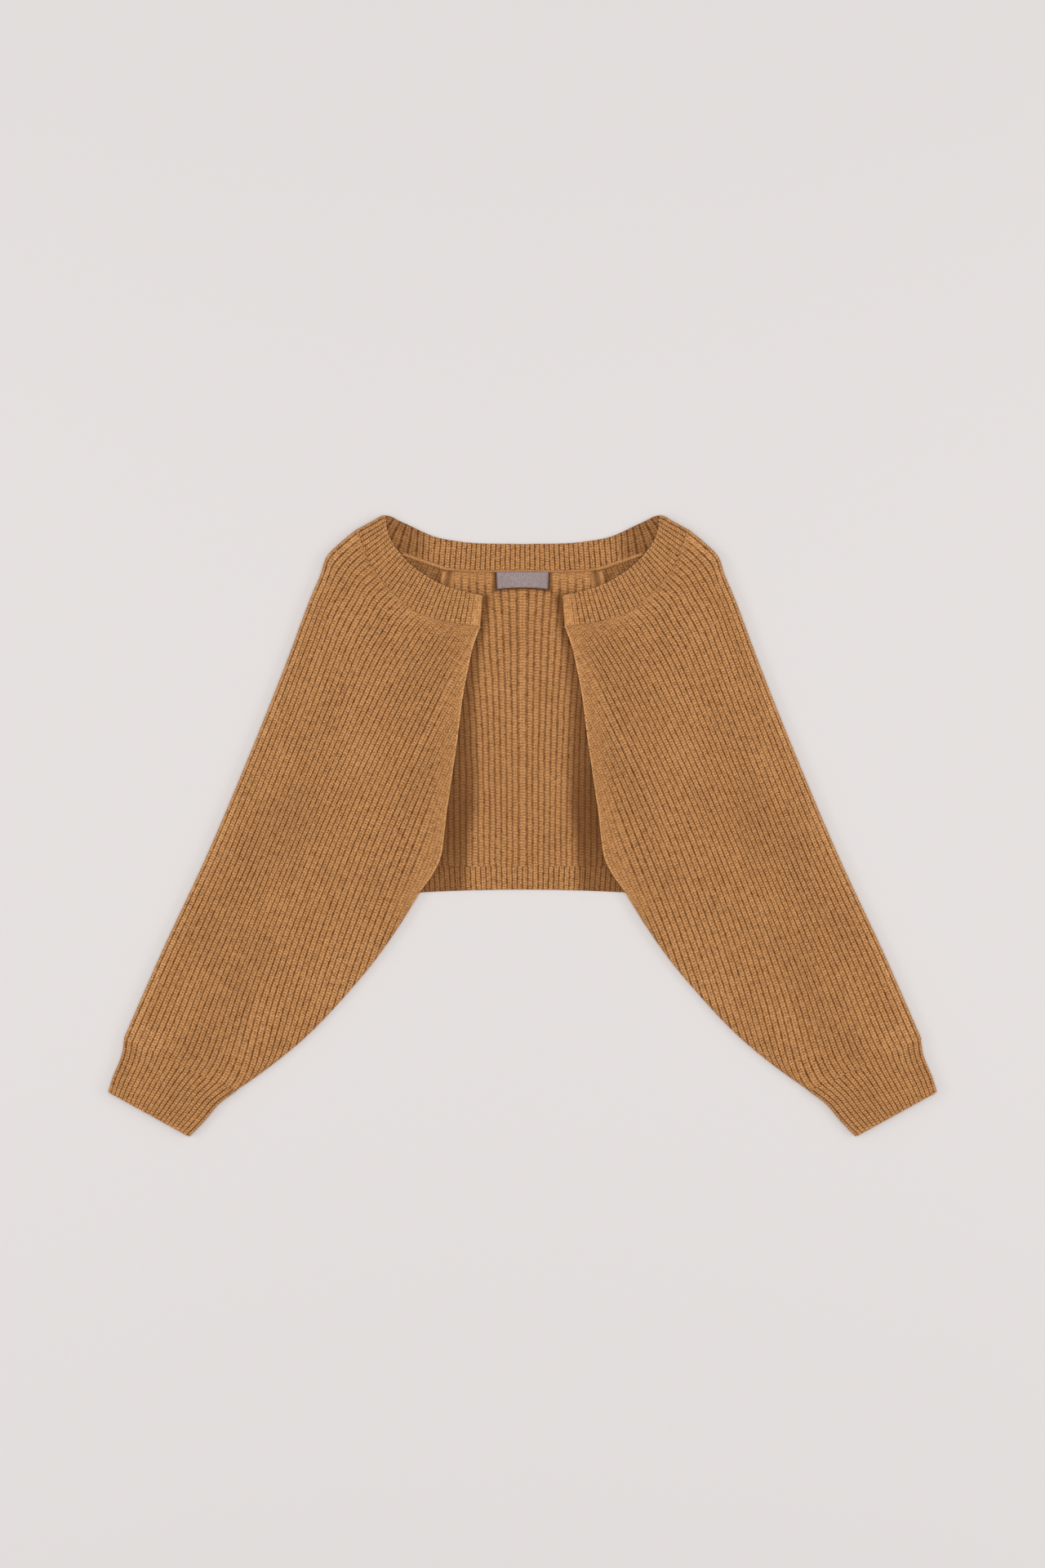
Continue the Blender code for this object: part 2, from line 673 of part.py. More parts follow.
def band_half(row_share):
    """One row of the neckband's left half, from its front end over the fold to the centre back."""
    outer, inner = [], []
    columns = 2 * BAND_FRONT_RIBS
    for k in range(columns + 1):
        share = 1 - k / columns
        point = band_point(BAND_FRONT_CURVE(share), SEAM_FRONT_CURVE(share), row_share)
        floor = WALL + band_gap(share)
        outer.append(raised(point, floor + WALL + FINE_RIB * (k % 2)))
        inner.append(raised(point, floor))
    fold = band_point(BAND_FRONT_CURVE(0.0), SEAM_FRONT_CURVE(0.0), row_share)
    fold_outer, fold_inner = fold_stations(fold, SHOULDER_ACROSS, FINE_RIB)
    outer += reversed(fold_outer)
    inner += reversed(fold_inner)
    # The middle of a rib lies on the shoulder fold, and another on the centre line
    edge = curve_by_ribs(BAND_BACK_CURVE, BAND_EDGE_RIB_ENDS)
    seam = curve_by_ribs(SEAM_BACK_CURVE, BAND_SEAM_RIB_ENDS)
    columns = BAND_BACK_RIBS
    for k in range(columns + 1):
        share = k / columns
        point = band_point(edge(share), seam(share), row_share)
        outer.append(raised(point, 0.0))
        inner.append(raised(point, WALL + FINE_RIB * ((k + 1) % 2)))
    return outer, inner


def band_point(edge, seam, share):
    """A plan point between the neckband's free edge and its seam, half a gap short of the seam."""
    seam = seam + (edge - seam).normalized() * SEAM_GAP / 2
    return edge.lerp(seam, share)


def build_neckband():
    """The neckband: one strip that lies low behind the neck and folds over at both shoulders."""
    outer, inner = [], []
    for share in BAND_ROWS:
        outer_half, inner_half = band_half(share)
        for rows, half in ((outer, outer_half), (inner, inner_half)):
            rows.append(half + mirrored([half[-2::-1]], -1)[0])
    front, last = 2 * BAND_FRONT_RIBS, len(outer[0]) - 1
    back = front + len(FOLD_ANGLES) + 1
    outer_kept = sorted({*range(back + 1), *every(back, last - back, PLAIN_EVERY),
                         *range(last - back, last + 1)})
    inner_kept = sorted({*every(0, front, PLAIN_EVERY), *range(front, last - front + 1),
                         *every(last - front, last, PLAIN_EVERY)})
    return sheet_object("neckband", outer, inner, outer_kept, inner_kept)


def build_label():
    """The bare neck label, lying on the back panel's ribs just under the neckband."""
    top = SEAM_BACK_CURVE(1.0).y - LABEL_BELOW_SEAM
    floor = WALL + RIB + SEAM_GAP
    under, upper = [], []
    for depth in (0.0, LABEL_DEPTH):
        under_row, upper_row = [], []
        for k in range(LABEL_COLUMNS + 1):
            share = 2 * k / LABEL_COLUMNS - 1
            bow = LABEL_BOW * (1 - share * share) * depth / LABEL_DEPTH
            point = Vector((LABEL_WIDTH / 2 * share, top - depth + bow))
            under_row.append(raised(point, floor))
            upper_row.append(raised(point, floor + LABEL_THICKNESS))
        under.append(under_row)
        upper.append(upper_row)
    stations = list(range(LABEL_COLUMNS + 1))
    return sheet_object("neck_label", upper, under, stations, stations)


def main():
    """Clear the scene and build every piece."""
    for old in list(bpy.data.objects):
        bpy.data.objects.remove(old, do_unlink=True)
    bpy.context.scene.collection.children.link(bpy.data.collections.new(COLLECTION))
    pieces = [build_back_panel(), build_hem_band(), build_neckband()]
    for side, word in ((1, "left"), (-1, "right")):
        pieces.append(build_sleeve(f"sleeve_front_{word}", side))
        pieces.append(build_cuff(f"cuff_{word}", side))
    for piece in pieces:
        piece.data.materials.append(fabric_material(f"{piece.name}_wool", CLOTH_COLOUR, CLOTH_ROUGHNESS))
    label = build_label()
    label.data.materials.append(fabric_material("woven_tab", LABEL_COLOUR, LABEL_ROUGHNESS))


main()
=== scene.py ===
"""The looks of the dolman sleeve cardigan: camel wool rib knit, laid flat with its front up.

Every piece is a closed cloth shell on the form of the CAD solid that it replaces. The shells are
worked out in plan, from the outlines of the left half in millimetres, and then lifted to their
heights: the back half of a sleeve-front lies on the floor, it folds over along the outer edge of
the sleeve, and its ribbed front half lies on top.

Frame: X across the garment, Y up the garment towards the neck, Z up. Lengths are in metres unless
a name says millimetres.
"""

import logging
import math
from dataclasses import dataclass, field, replace
from enum import Enum

import bpy
import numpy as np
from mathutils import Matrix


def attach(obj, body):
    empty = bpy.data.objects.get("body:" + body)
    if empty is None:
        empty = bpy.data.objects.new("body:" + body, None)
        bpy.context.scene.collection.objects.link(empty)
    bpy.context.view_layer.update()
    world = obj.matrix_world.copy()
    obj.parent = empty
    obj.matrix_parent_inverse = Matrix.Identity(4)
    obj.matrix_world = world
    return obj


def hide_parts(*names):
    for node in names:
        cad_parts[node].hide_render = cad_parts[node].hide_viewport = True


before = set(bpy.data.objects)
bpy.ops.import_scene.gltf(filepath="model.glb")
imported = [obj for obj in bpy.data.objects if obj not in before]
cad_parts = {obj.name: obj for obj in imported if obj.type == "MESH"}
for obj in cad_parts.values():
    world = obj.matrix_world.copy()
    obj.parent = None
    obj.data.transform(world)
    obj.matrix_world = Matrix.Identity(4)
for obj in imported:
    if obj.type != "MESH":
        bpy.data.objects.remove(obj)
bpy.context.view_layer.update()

Array = np.ndarray
Table = tuple[tuple[float, float], ...]
Outline = tuple[tuple[str, float, float], ...]
Inputs = tuple[object, ...] | dict[str | int, object]
StitchParts = tuple[bpy.types.Node, bpy.types.Node, bpy.types.Node]

LOG = logging.getLogger("cardigan")
MM = 0.001

# Cloth: the wall between ribs, how far ribs stand above it, the gap and the rounding at a seam, and
# the thinnest that a rim may be
WALL = 2.2 * MM
RIB = 0.8 * MM
FINE_RIB = 0.6 * MM
SEAM_GAP = 0.04 * MM
SEAM_ROUND = 0.06 * MM
THINNEST = 0.1 * MM

# Air between the two layers of the garment
FOLD_GAP = 1.6 * MM
SLEEVE_GAP = 3.0 * MM
UNDERARM_GAP = 0.3 * MM
FRONT_EDGE_GAP = 3.4 * MM
FOLD_RADIUS = WALL + FOLD_GAP / 2
FOLD_INNER_RADIUS = FOLD_GAP / 2

# Cloth round a fold: how many ribs turn with it, and the angle at which they rise and how soon
FOLD_RIBS = 1.6
FOLD_RIB_START = -0.9
FOLD_RIB_RISE = 0.6

# The power of a rib's round top: the higher, the broader is the rib and the narrower the groove
RIB_POWER = 4

# How many lumps of noise there are each way before they repeat
NOISE_CELLS = 64

# The frame's height, its scale and its middle, for the camera
PHOTO_HEIGHT_PX = 1920
MM_PER_PX = 0.85
FRAME_CENTRE_Y = 43.35 * MM

# Outlines of the left half, in millimetres from the centre line and up the garment
OUTER_FOLD: Outline = (
    ("top of the cuff", 414.5, -221.6),
    ("forearm", 376.6, -135.2),
    ("elbow", 329.0, -33.2),
    ("upper arm", 285.6, 68.9),
    ("below the shoulder", 244.8, 170.9),
    ("shoulder drop", 219.3, 238.9),
    ("shoulder point", 208.8, 264.0),
    ("shoulder turn", 204.4, 278.0),
    ("shoulder slope", 188.4, 295.0),
    ("neckband seam", 172.4, 308.0),
)
UNDERARM_EDGE: Outline = (
    ("inner end of the cuff", 299.0, -276.4),
    ("wrist", 275.1, -259.7),
    ("forearm", 227.4, -221.5),
    ("elbow", 179.7, -171.4),
    ("upper arm", 155.8, -142.8),
    ("near the underarm", 126.5, -101.2),
    ("underarm point", 107.1, -69.7),
)
FRONT_EDGE: Outline = (
    ("end of the neckband", 43.8, 207.4),
    ("below the neckband", 50.9, 188.0),
    ("upper chest", 55.8, 166.6),
    ("chest", 61.2, 139.0),
    ("below the chest", 67.9, 88.0),
    ("waist", 75.6, 36.0),
    ("last full rib", 79.4, 9.4),
)
LAST_RIB: Outline = (
    ("underarm point", 107.1, -69.7),
    ("hem", 92.8, -49.5),
    ("above the hem", 85.4, -34.0),
    ("lower front edge", 82.0, -14.0),
    ("last full rib", 79.4, 9.4),
)
NECK_SEAM_FRONT: Outline = (
    ("shoulder fold", 170.8, 305.4),
    ("shoulder", 159.0, 273.7),
    ("side of the neck", 137.7, 246.5),
    ("collar bone", 107.1, 221.0),
    ("chest", 85.9, 214.2),
    ("end of the neckband", 43.8, 207.4),
)
NECK_SEAM_BACK: Outline = (
    ("shoulder fold", 170.8, 305.4),
    ("shoulder", 128.4, 285.2),
    ("side of the neck", 97.4, 274.6),
    ("raglan seam", 79.0, 268.6),
    ("beside the label", 56.0, 266.5),
    ("centre back", 0.0, 266.5),
)
BAND_EDGE_FRONT: Outline = (
    ("shoulder fold", 142.3, 320.9),
    ("below the fold", 141.0, 308.0),
    ("side of the neck", 123.4, 278.8),
    ("collar bone", 99.0, 259.3),
    ("chest", 74.8, 247.8),
    ("end of the neckband", 41.5, 239.5),
)
BAND_EDGE_BACK: Outline = (
    ("shoulder fold", 143.6, 323.2),
    ("behind the fold", 139.8, 322.9),
    ("behind the shoulder", 129.0, 318.0),
    ("side of the neck", 117.0, 312.4),
    ("back of the neck", 91.0, 300.9),
    ("beside the centre", 66.6, 296.2),
    ("centre back", 0.0, 293.3),
)
RAGLAN_SEAM: Outline = (
    ("underarm point", 107.1, -69.7),
    ("hem band", 109.4, -43.0),
    ("side", 111.0, 10.0),
    ("shoulder blade", 106.0, 120.0),
    ("side of the neck", 79.0, 268.6),
)
CUFF_OUTER_SIDE: Outline = (
    ("top", 414.5, -221.6),
    ("upper part", 416.4, -235.9),
    ("lower part", 427.2, -264.4),
    ("edge", 431.3, -277.6),
)
CUFF_INNER_SIDE: Outline = (
    ("top", 299.0, -276.4),
    ("upper part", 316.5, -289.5),
    ("lower part", 331.0, -306.5),
    ("edge", 347.5, -323.7),
)
HEM_EDGE_Y = -66.7 * MM

# The painted shade on the back beside a front edge, in millimetres: height up the garment, distance of
# its middle from the centre line, how deep it is, and how wide its soft border is
EDGE_SHADE: tuple[tuple[float, float, float, float], ...] = (
    (-60.0, 58.7, 0.76, 14.0),
    (-8.0, 53.6, 0.95, 14.0),
    (25.0, 49.0, 0.97, 15.0),
    (60.0, 48.5, 0.88, 17.0),
    (100.0, 50.0, 0.8, 17.0),
    (140.0, 48.8, 0.76, 15.0),
    (180.0, 43.8, 0.68, 11.0),
    (200.0, 39.5, 0.85, 8.0),
    (236.0, 33.5, 0.9, 7.0),
)


class Side(Enum):
    """The wearer's two sides, as the sign of X."""

    LEFT = 1
    RIGHT = -1

    @property
    def word(self) -> str:
        """The side as the CAD node names end."""
        return self.name.lower()


# Curves and patches in plan


class PlanCurve:
    """A smooth plan curve through the places of an outline, read by the share of its length."""

    def __init__(self, knots: Array, steps: int = 24) -> None:
        """Trace the curve.

        Args:
            knots: The points it goes through, one row each, in metres.
            steps: How many straight pieces stand for each stretch between two knots.
        """
        ends = np.vstack([2 * knots[0] - knots[1], knots, 2 * knots[-1] - knots[-2]])
        t = np.linspace(0.0, 1.0, steps + 1)[1:, None]
        points = [knots[:1]]
        for before, start, end, after in zip(ends, ends[1:], ends[2:], ends[3:]):
            first, middle, last = (np.linalg.norm(b - a) for a, b in
                                   ((before, start), (start, end), (end, after)))
            leave = ((start - before) / first - (end - before) / (first + middle)
                     + (end - start) / middle)
            arrive = ((end - start) / middle - (after - start) / (middle + last)
                      + (after - end) / last)
            points.append(
                (2 * t**3 - 3 * t**2 + 1) * start
                + (t**3 - 2 * t**2 + t) * middle * leave
                + (3 * t**2 - 2 * t**3) * end
                + (t**3 - t**2) * middle * arrive
            )
        self.points = np.vstack(points)
        steps_long = np.linalg.norm(np.diff(self.points, axis=0), axis=1)
        self.marks = np.concatenate([[0.0], np.cumsum(steps_long)])
        self.length = float(self.marks[-1])

    @classmethod
    def through(cls, outline: Outline) -> "PlanCurve":
        """The curve through an outline's places."""
        return cls(np.array([(x, y) for _, x, y in outline]) * MM)

    def at(self, share: Array | float) -> Array:
        """The points at these shares of the length."""
        mark = np.clip(share, 0.0, 1.0) * self.length
        return np.stack([np.interp(mark, self.marks, self.points[:, i]) for i in (0, 1)], axis=-1)

    def share_at_x(self, x: Array) -> Array:
        """The shares where a curve that runs inward is this far from the centre line."""
        return np.interp(x, self.points[::-1, 0], self.marks[::-1] / self.length)

    def distance(self, points: Array) -> Array:
        """How far plan points lie from the curve.

        Args:
            points: The points.

        Returns:
            Their distances, read from every second stretch of the curve.
        """
        flat = points.reshape(-1, 2)
        nearest = np.full(len(flat), np.inf)
        for start, end in zip(self.points[:-1:2], self.points[2::2]):
            run = end - start
            share = np.clip(((flat - start) @ run) / (run @ run), 0.0, 1.0)
            nearest = np.minimum(nearest, np.linalg.norm(flat - start - share[:, None] * run, axis=1))
        return nearest.reshape(points.shape[:-1])


def smooth_step(value: Array | float) -> Array:
    """Ease from 0 to 1 as the value goes from 0 to 1."""
    value = np.clip(value, 0.0, 1.0)
    return value * value * (3 - 2 * value)


def eased(table: Table, mark: Array) -> Array:
    """Read a short table smoothly.

    Args:
        table: Pairs of a mark and its value, in order.
        mark: Where to read it.

    Returns:
        The value at each mark.
    """
    marks, values = np.array(table).T
    slopes = np.empty_like(values)
    slopes[1:-1] = (values[2:] - values[:-2]) / (marks[2:] - marks[:-2])
    slopes[0] = (values[1] - values[0]) / (marks[1] - marks[0])
    slopes[-1] = (values[-1] - values[-2]) / (marks[-1] - marks[-2])
    i = np.clip(np.searchsorted(marks, mark, side="right") - 1, 0, len(marks) - 2)
    span = marks[i + 1] - marks[i]
    t = np.clip((mark - marks[i]) / span, 0.0, 1.0)
    return ((2 * t**3 - 3 * t**2 + 1) * values[i] + (t**3 - 2 * t**2 + t) * span * slopes[i]
            + (3 * t**2 - 2 * t**3) * values[i + 1] + (t**3 - t**2) * span * slopes[i + 1])


def blend(start: Array, end: Array, share: Array) -> Array:
    """Points between two sets of points."""
    return start + (end - start) * np.asarray(share)[..., None]


def quarter_turn(direction: Array) -> Array:
    """The unit plan directions a quarter turn to the right of these."""
    turned = np.stack([direction[..., 1], -direction[..., 0]], axis=-1)
    return turned / np.linalg.norm(turned, axis=-1, keepdims=True)


def soft_noise(u: Array, v: Array, seed: int) -> Array:
    """Smooth noise over a plane, from -1 to 1, with lumps about one unit wide.

    Args:
        u: First coordinate, in lumps.
        v: Second coordinate, in lumps.
        seed: Which noise; the same seed gives the same noise.

    Returns:
        The noise at each place.
    """
    values = np.random.default_rng(seed).uniform(-1.0, 1.0, (NOISE_CELLS, NOISE_CELLS))
    i, j = np.floor(u).astype(int), np.floor(v).astype(int)
    s, t = smooth_step(u - i), smooth_step(v - j)
    corner = [values[(i + a) % NOISE_CELLS, (j + b) % NOISE_CELLS] for a in (0, 1) for b in (0, 1)]
    return (corner[0] * (1 - t) + corner[1] * t) * (1 - s) + (corner[2] * (1 - t) + corner[3] * t) * s


def rounding(distance: Array, radius: float) -> Array:
    """How far a rounded edge of this radius lies below its flat top, at a distance from its rim."""
    inward = 1 - np.clip(distance / radius, 0.0, 1.0)
    return radius * (1 - np.sqrt(1 - inward * inward))


def rib_profile(u: Array) -> Array:
    """The height share of a rib's cross section: a broad round top, narrow grooves at whole numbers."""
    return 1 - (1 - np.abs(np.sin(math.pi * u))) ** RIB_POWER


def rib_columns(first: int, last: int, stations: tuple[float, ...]) -> Array:
    """Rib coordinates across a ribbed side, close together in the grooves.

    Args:
        first: Rib number at the start.
        last: Rib number at the end.
        stations: Places within one rib, from 0 up to 1.

    Returns:
        The coordinates from first to last.
    """
    inside = [rib + station for rib in range(first, last) for station in stations]
    return np.array([*inside, float(last)])


# Places across one rib where it has a column of points, from groove to groove
FULL_RIB = (0.0, 0.07, 0.17, 0.33, 0.5, 0.67, 0.83, 0.93)
SLIM_RIB = (0.0, 0.1, 0.27, 0.5, 0.73, 0.9)


def rows_between(lengths: Array, rims: tuple[float, ...], inner_rows: int, inset: float) -> Array:
    """Shares up every column of a patch: rim rows at set distances from both ends, even rows between.

    Args:
        lengths: Length of each column.
        rims: Distances of the rim rows from an end, rising.
        inner_rows: How many even rows lie between the rim rows.
        inset: Distance that both ends are drawn in by.

    Returns:
        An array of rows by columns.
    """
    edge = np.array([inset + rim for rim in rims])[:, None] / lengths[None, :]
    share = np.linspace(0.0, 1.0, inner_rows + 2)[1:-1, None]
    inner = edge[-1] + (1 - 2 * edge[-1]) * share
    return np.vstack([edge, inner, 1 - edge[::-1]])


OUTER_FOLD_CURVE = PlanCurve.through(OUTER_FOLD)
UNDERARM_CURVE = PlanCurve.through(UNDERARM_EDGE)
FRONT_EDGE_CURVE = PlanCurve.through(FRONT_EDGE)
SEAM_FRONT_CURVE = PlanCurve.through(NECK_SEAM_FRONT)
SEAM_BACK_CURVE = PlanCurve.through(NECK_SEAM_BACK)
BAND_FRONT_CURVE = PlanCurve.through(BAND_EDGE_FRONT)
BAND_BACK_CURVE = PlanCurve.through(BAND_EDGE_BACK)
RAGLAN_CURVE = PlanCurve.through(RAGLAN_SEAM)
CUFF_OUTER_CURVE = PlanCurve.through(CUFF_OUTER_SIDE)
CUFF_INNER_CURVE = PlanCurve.through(CUFF_INNER_SIDE)
SHOULDER_ACROSS = quarter_turn(BAND_FRONT_CURVE.at(0.0) - SEAM_FRONT_CURVE.at(0.0))


# Shells


GRID_ARRAYS = ("outer", "inner", "rib", "course", "depth", "shade")
# Below level, the shade fades out over this much of a normal's height
SHADE_FADE = 0.35


@dataclass
class ShellGrid:
    """The points of a cloth shell, row by row, and what its material reads from them.

    The rib coordinate has its grooves at whole numbers. The course coordinate counts rows of
    stitches. The depth is how clear the ribs are. The shade is painted light and shade on most
    pieces: above zero painted shade, below zero a painted highlight, over a little random tone.
    """

    outer: Array
    inner: Array
    rib: Array
    course: Array
    depth: Array
    shade: Array
    ring: bool = False

    @classmethod
    def joined(cls, *parts: "ShellGrid") -> "ShellGrid":
        """One grid of these, side by side."""
        return cls(*(np.concatenate([getattr(part, key) for part in parts], axis=1)
                     for key in GRID_ARRAYS))

    def mirrored(self, side: Side) -> "ShellGrid":
        """The grid of this side, worked out from that of the left one."""
        flip = np.array([side.value, 1.0, 1.0])
        return replace(self, outer=self.outer * flip, inner=self.inner * flip)

    def turned(self) -> "ShellGrid":
        """The grid with its columns in the other order, without the one that was last."""
        return ShellGrid(*(getattr(self, key)[:, -2::-1] for key in GRID_ARRAYS))


def shell_object(name: str, grid: ShellGrid, material: bpy.types.Material) -> bpy.types.Object:
    """Make a closed shell from its grid, with its material, map and attributes.

    Args:
        name: Name of the piece.
        grid: Its points and their coordinates.
        material: The cloth it is made of.

    Returns:
        The new object, with outward normals.
    """
    rows, columns = grid.outer.shape[:2]
    outer_index = np.arange(rows * columns).reshape(rows, columns)
    inner_index = outer_index + rows * columns

    def quads(index: Array) -> Array:
        """The faces between neighbouring points, from a grid of their numbers."""
        following = np.roll(index, -1, axis=1)
        last = columns if grid.ring else columns - 1
        return np.stack([index[:-1, :last], following[:-1, :last], following[1:, :last],
                         index[1:, :last]], axis=-1).reshape(-1, 4)

    faces = [quads(outer_index), quads(inner_index)[:, ::-1]]
    wall_start = sum(len(side) for side in faces)
    for row, turn in ((0, -1), (rows - 1, 1)):
        strip = quads(np.stack([outer_index[row], inner_index[row]]))
        faces.append(strip[:, ::turn])
    if not grid.ring:
        for column, turn in ((0, 1), (columns - 1, -1)):
            strip = np.stack([outer_index[:-1, column], outer_index[1:, column],
                              inner_index[1:, column], inner_index[:-1, column]], axis=-1)
            faces.append(strip[:, ::turn])
    points = np.vstack([grid.outer.reshape(-1, 3), grid.inner.reshape(-1, 3)])
    quad_array = np.vstack(faces)
    if signed_volume(points, quad_array) < 0:
        quad_array = quad_array[:, ::-1]

    mesh = bpy.data.meshes.new(name)
    mesh.vertices.add(len(points))
    mesh.vertices.foreach_set("co", points.astype(np.float32).ravel())
    mesh.loops.add(quad_array.size)
    mesh.loops.foreach_set("vertex_index", quad_array.astype(np.int32).ravel())
    mesh.polygons.add(len(quad_array))
    mesh.polygons.foreach_set("loop_start", np.arange(0, quad_array.size, 4, dtype=np.int32))
    mesh.polygons.foreach_set("loop_total", np.full(len(quad_array), 4, dtype=np.int32))
    # The narrow walls along its rims are flat, so that its sides stay level up to a seam
    mesh.polygons.foreach_set("use_smooth", np.arange(len(quad_array)) < wall_start)
    mesh.update(calc_edges=True)
    knit_map = mesh.uv_layers.new(name="knit")
    coordinates = np.stack([np.tile(grid.rib.ravel(), 2), np.tile(grid.course.ravel(), 2)], axis=-1)
    knit_map.data.foreach_set("uv", coordinates[quad_array.ravel()].astype(np.float32).ravel())
    # The painted light and shade is for the sides that face up, and the underside keeps the plain tone
    # of the yarn
    normals = np.empty(len(points) * 3, dtype=np.float32)
    mesh.vertex_normals.foreach_get("vector", normals)
    facing_up = smooth_step(1 + normals[2::3] / SHADE_FADE)
    for label, values, share in (("rib_depth", grid.depth, 1.0), ("shade", grid.shade, facing_up)):
        attribute = mesh.attributes.new(label, "FLOAT", "POINT")
        attribute.data.foreach_set("value", (np.tile(values.ravel(), 2) * share).astype(np.float32))
    mesh.validate()
    mesh.materials.append(material)
    piece = bpy.data.objects.new(name, mesh)
    bpy.context.scene.collection.objects.link(piece)
    return piece


def signed_volume(points: Array, quads: Array) -> float:
    """Six times the volume inside these faces, below zero when they face inward."""
    a, b, c, d = (points[quads[:, i]] for i in range(4))
    return float(np.sum(a * np.cross(b, c)) + np.sum(a * np.cross(c, d)))


def lifted(plan: Array, height: Array | float) -> Array:
    """Plan points raised to their heights."""
    height = np.broadcast_to(height, plan.shape[:-1])
    return np.concatenate([plan, height[..., None]], axis=-1)


def arc_lengths(plan: Array) -> Array:
    """Length along each column of a plan grid, from its first row."""
    steps = np.linalg.norm(np.diff(plan, axis=0), axis=-1)
    return np.vstack([np.zeros((1, plan.shape[1])), np.cumsum(steps, axis=0)])


def rolled(centre: Array, outward: Array, angles: tuple[float, ...],
           relief: float) -> tuple[Array, Array, Array]:
    """Cloth that turns round a fold, from one layer to the other.

    Args:
        centre: Plan points on the axis of the fold, as one column.
        outward: The plan directions out of the garment, for each point or one for all.
        angles: Turns round the fold in degrees, from -90 below to 90 above.
        relief: How far its ribs stand out.

    Returns:
        The outer points, the inner points and their rib coordinates.
    """
    turn = np.radians(np.array(angles))[None, :]
    rib = np.broadcast_to((turn - math.pi / 2) / math.pi * FOLD_RIBS, (len(centre), turn.size))
    risen = smooth_step((turn - FOLD_RIB_START) / FOLD_RIB_RISE)
    radius = FOLD_RADIUS + relief * rib_profile(rib) * risen
    outer = lifted(centre + outward * (radius * np.cos(turn))[..., None],
                   np.maximum(FOLD_RADIUS + radius * np.sin(turn), 0.0))
    inner = lifted(centre + outward * (FOLD_INNER_RADIUS * np.cos(turn))[..., None],
                   np.broadcast_to(FOLD_RADIUS + FOLD_INNER_RADIUS * np.sin(turn), rib.shape))
    return outer, inner, rib


# Finishes


def linear_colour(hex_code: str) -> tuple[float, float, float, float]:
    """Turn an sRGB hex code into Blender's linear colour.

    Args:
        hex_code: Six hex digits: red, green and blue.

    Returns:
        The linear colour with full alpha.
    """
    shares = [int(hex_code[i:i + 2], 16) / 255 for i in (0, 2, 4)]
    linear = [s / 12.92 if s <= 0.04045 else ((s + 0.055) / 1.055) ** 2.4 for s in shares]
    return (linear[0], linear[1], linear[2], 1.0)


MATH = "ShaderNodeMath"
NOISE = "ShaderNodeTexNoise"
EASE = "ShaderNodeMapRange"
MIX = "ShaderNodeMix"


def add_node(tree: bpy.types.NodeTree, kind: str, inputs: Inputs = (),
             **settings: object) -> bpy.types.Node:
    """Add one shader node.

    Args:
        tree: The material's node tree.
        kind: The node's type name.
        inputs: What its inputs hold, in order or by name or number. A node or a socket is
            linked from, anything else is set as a plain value.
        settings: The node's own properties, such as an operation.

    Returns:
        The new node.
    """
    node = tree.nodes.new(kind)
    for key, value in settings.items():
        setattr(node, key, value)
    for key, value in inputs.items() if isinstance(inputs, dict) else enumerate(inputs):
        if isinstance(value, bpy.types.Node):
            value = value.outputs[0]
        if isinstance(value, bpy.types.NodeSocket):
            tree.links.new(value, node.inputs[key])
        else:
            node.inputs[key].default_value = value
    return node


def new_material(name: str) -> tuple[bpy.types.Material, bpy.types.Node]:
    """Start a material with nodes.

    Args:
        name: Its name.

    Returns:
        The material and its Principled shader.
    """
    material = bpy.data.materials.new(name)
    material.use_nodes = True
    return material, material.node_tree.nodes["Principled BSDF"]


